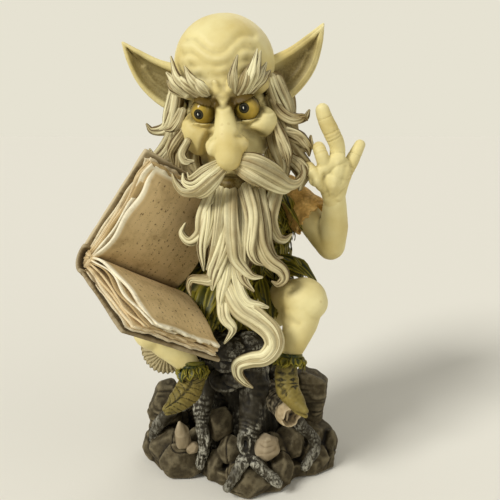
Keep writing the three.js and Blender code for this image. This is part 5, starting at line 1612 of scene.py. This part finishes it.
TAIL = [
    (-6, -49, 152), (-3, -53, 140), (3, -56, 129), (12, -58, 122.6), (20, -60, 115.6), (22, -61, 107.5),
    (16.7, -61, 100.3), (8.6, -61, 98.5), (1.2, -61, 95.3), (1.1, -61, 88.8), (5.2, -61, 83.7),
    (9.3, -61, 80.7),
]
TAIL_RADII = [5, 6, 6.2, 6, 5.6, 5.2, 4.8, 4.4, 4, 3.4, 2.4, 0.8]
# Ranges of tone, from pale at 0 to grey at 1.
PALE, MIXED, GREY = (0.0, 0.75), (0.2, 0.9), (0.6, 1.0)


def all_hair():
    hair("brow_left", (GROUND, BROW_LEFT, 4, MIXED, 0.25))
    hair("brow_right", (GROUND, BROW_RIGHT, 4, MIXED, 0.25))
    # The left moustache is painted greyer than the right, partly its own colour and partly painted shade.
    hair("moustache_left", (GROUND, MOUSTACHE_LEFT, 5, (0.3, 0.9), 0.15))
    hair("moustache_right", (GROUND, MOUSTACHE_RIGHT, 5, PALE, 0.15))
    hair("hair_left", (GROUND, CHEEK_HAIR_LEFT, 4, GREY, 0.25), (HEAD, SIDE_HAIR, 5, GREY, 0.25))
    hair("hair_right", (GROUND, CHEEK_HAIR_RIGHT, 4, GREY, 0.25), (HEAD, flipped(SIDE_HAIR), 5, GREY, 0.25))
    hair("hair_back", (HEAD, BACK_HAIR + flipped(BACK_HAIR) + NAPE, 6, GREY, 0.2))
    # The beard's grey heart shows between the locks as painted shade.
    hair("beard", (GROUND, BEARD_HEART, 0, GREY, 0.0), (GROUND, BEARD_UNDER, 4, MIXED, 0.25),
         (GROUND, BEARD, 5, PALE, 0.18))
    hair("beard_tail", (GROUND, [(TAIL, TAIL_RADII)], 12, GREY, 0.3))


CARRIED_OVER = {"felt_pad": "felt", "stump_dowel": "peg", "neck_dowel": "peg", "book_peg": "peg"}


def carried_over():
    """The felt under the base and the pegs inside keep their CAD shape."""
    for name, slot in CARRIED_OVER.items():
        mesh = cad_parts[name].data
        mesh.materials.clear()
        mesh.materials.append(MATERIALS[slot])


def figure():
    stump()
    root_stub()
    rock_base()
    rough_stone("rock_left", "rock", on_base(-48, 3, 38), (13, 14, 19), 31, (0.1, 0.15, 0.3), layers=1.2)
    rough_stone("rock_slab", "rock", on_base(45, 10, 36), (15, 14, 28), 32, (0.08, 0.16, -0.2),
                layers=1.2, square=0.65)
    rough_stone("rock_middle", "rock", on_base(-11, -21, 37), (10, 9, 14), 33, (0.2, 0, 0.3))
    rough_stone("pale_stone", "stone", (18, -40, 30), (8.4, 7.6, 8.4), 12, (0.2, 0.9, 0.3), 0.4, 0.8, 0.85)
    rough_stone("small_pebble", "stone", on_base(-28.5, -30, 24), (4.6, 4.6, 4.6), 14, voxel=0.3)
    pointed_stone()
    bracket_mushroom()
    book()
    leg("leg_left", HIP, KNEE_LEFT, ANKLE_LEFT)
    leg("leg_right", Vector((-HIP.x, HIP.y, HIP.z)), KNEE_RIGHT, ANKLE_RIGHT)
    boot("boot_left", ANKLE_LEFT, BOOT_LEFT, True, 7.2)
    boot("boot_right", ANKLE_RIGHT, BOOT_RIGHT, False, 8.4)
    cuff("boot_cuff_left", ANKLE_LEFT, (-0.1, -0.15, -1), 5)
    cuff("boot_cuff_right", ANKLE_RIGHT, (0, -0.3, -1), 6)
    tunic()
    skirts_and_collars()
    sleeve("sleeve_left", SHOULDER, HEM)
    sleeve("sleeve_right", SHOULDER_RIGHT, HEM_RIGHT)
    arm_left()
    arm_right()
    hand_left()
    hand_right()
    head()
    ear("ear_left", 1)
    ear("ear_right", -1)
    eye("eye_left", 1)
    eye("eye_right", -1)
    all_hair()
    carried_over()


# Stage: a pale table, a backdrop of the same colour and soft light.
PALE_GREY = srgb(230, 226, 210)
TABLE_SIZE = 8000
ROOM_LIGHT = 0.36
# Lamps: where each stands, its power, and the angle that its light is spread over.
LAMPS = [
    ("key", (-640, -560, 640), 2.6, 20),
    ("fill", (620, -480, 300), 0.5, 60),
    ("rim", (260, 620, 520), 0.5, 40),
]
SENSOR = 36
FOCAL_PIXELS = 620
PICTURE_PIXELS = 500
CAMERA_PLACE = Vector((8, -404, 237))
CAMERA_DOWN = 12


def table_paint():
    material = bpy.data.materials.new("table")
    material.use_nodes = True
    tree = material.node_tree
    shader = tree.nodes["Principled BSDF"]
    vector = add(tree, "ShaderNodeTexCoord").outputs["Object"]
    grain = clouds(tree, vector, 900.0)["Fac"]
    colour = blended(tree, grain, srgb(236, 232, 218), srgb(232, 228, 214))
    tree.links.new(colour, shader.inputs["Base Color"])
    shader.inputs["Roughness"].default_value = 0.9
    shader.inputs["Specular IOR Level"].default_value = 0.0
    return material


def room():
    """Even light from all round. The camera and reflections see a backdrop of the table's colour."""
    world = bpy.data.worlds.new("room")
    world.use_nodes = True
    tree = world.node_tree
    light = tree.nodes["Background"]
    light.inputs["Color"].default_value = srgb(240, 238, 232)
    light.inputs["Strength"].default_value = ROOM_LIGHT
    backdrop = add(tree, "ShaderNodeBackground", {"Color": PALE_GREY, "Strength": 1.0})
    rays = add(tree, "ShaderNodeLightPath").outputs
    reflected = maths(tree, "MAXIMUM", rays["Is Glossy Ray"], rays["Is Transmission Ray"])
    seen = maths(tree, "MAXIMUM", rays["Is Camera Ray"], reflected)
    mixed = add(tree, "ShaderNodeMixShader", {0: seen, 1: light.outputs[0], 2: backdrop.outputs[0]})
    tree.links.new(mixed.outputs[0], tree.nodes["World Output"].inputs["Surface"])
    return world


def stage():
    bm = bmesh.new()
    bmesh.ops.create_grid(bm, x_segments=1, y_segments=1, size=TABLE_SIZE)
    table = as_object("table", bm)
    table.data.materials.append(table_paint())
    scene = bpy.context.scene
    scene.world = room()
    for name, place, power, softness in LAMPS:
        lamp = bpy.data.lights.new(name, "SUN")
        lamp.energy = power
        lamp.angle = math.radians(softness)
        placed_object(name, lamp).rotation_euler = (-Vector(place)).to_track_quat("-Z", "Y").to_euler()
    lens = bpy.data.cameras.new("camera")
    lens.sensor_width = SENSOR
    lens.lens = SENSOR * FOCAL_PIXELS / PICTURE_PIXELS
    lens.clip_start, lens.clip_end = 0.01, 20
    camera = placed_object("camera", lens)
    camera.location = CAMERA_PLACE * MM
    camera.rotation_euler = (math.radians(90 - CAMERA_DOWN), 0, 0)
    scene.camera = camera
    scene.view_settings.view_transform = "Standard"


figure()
stage()
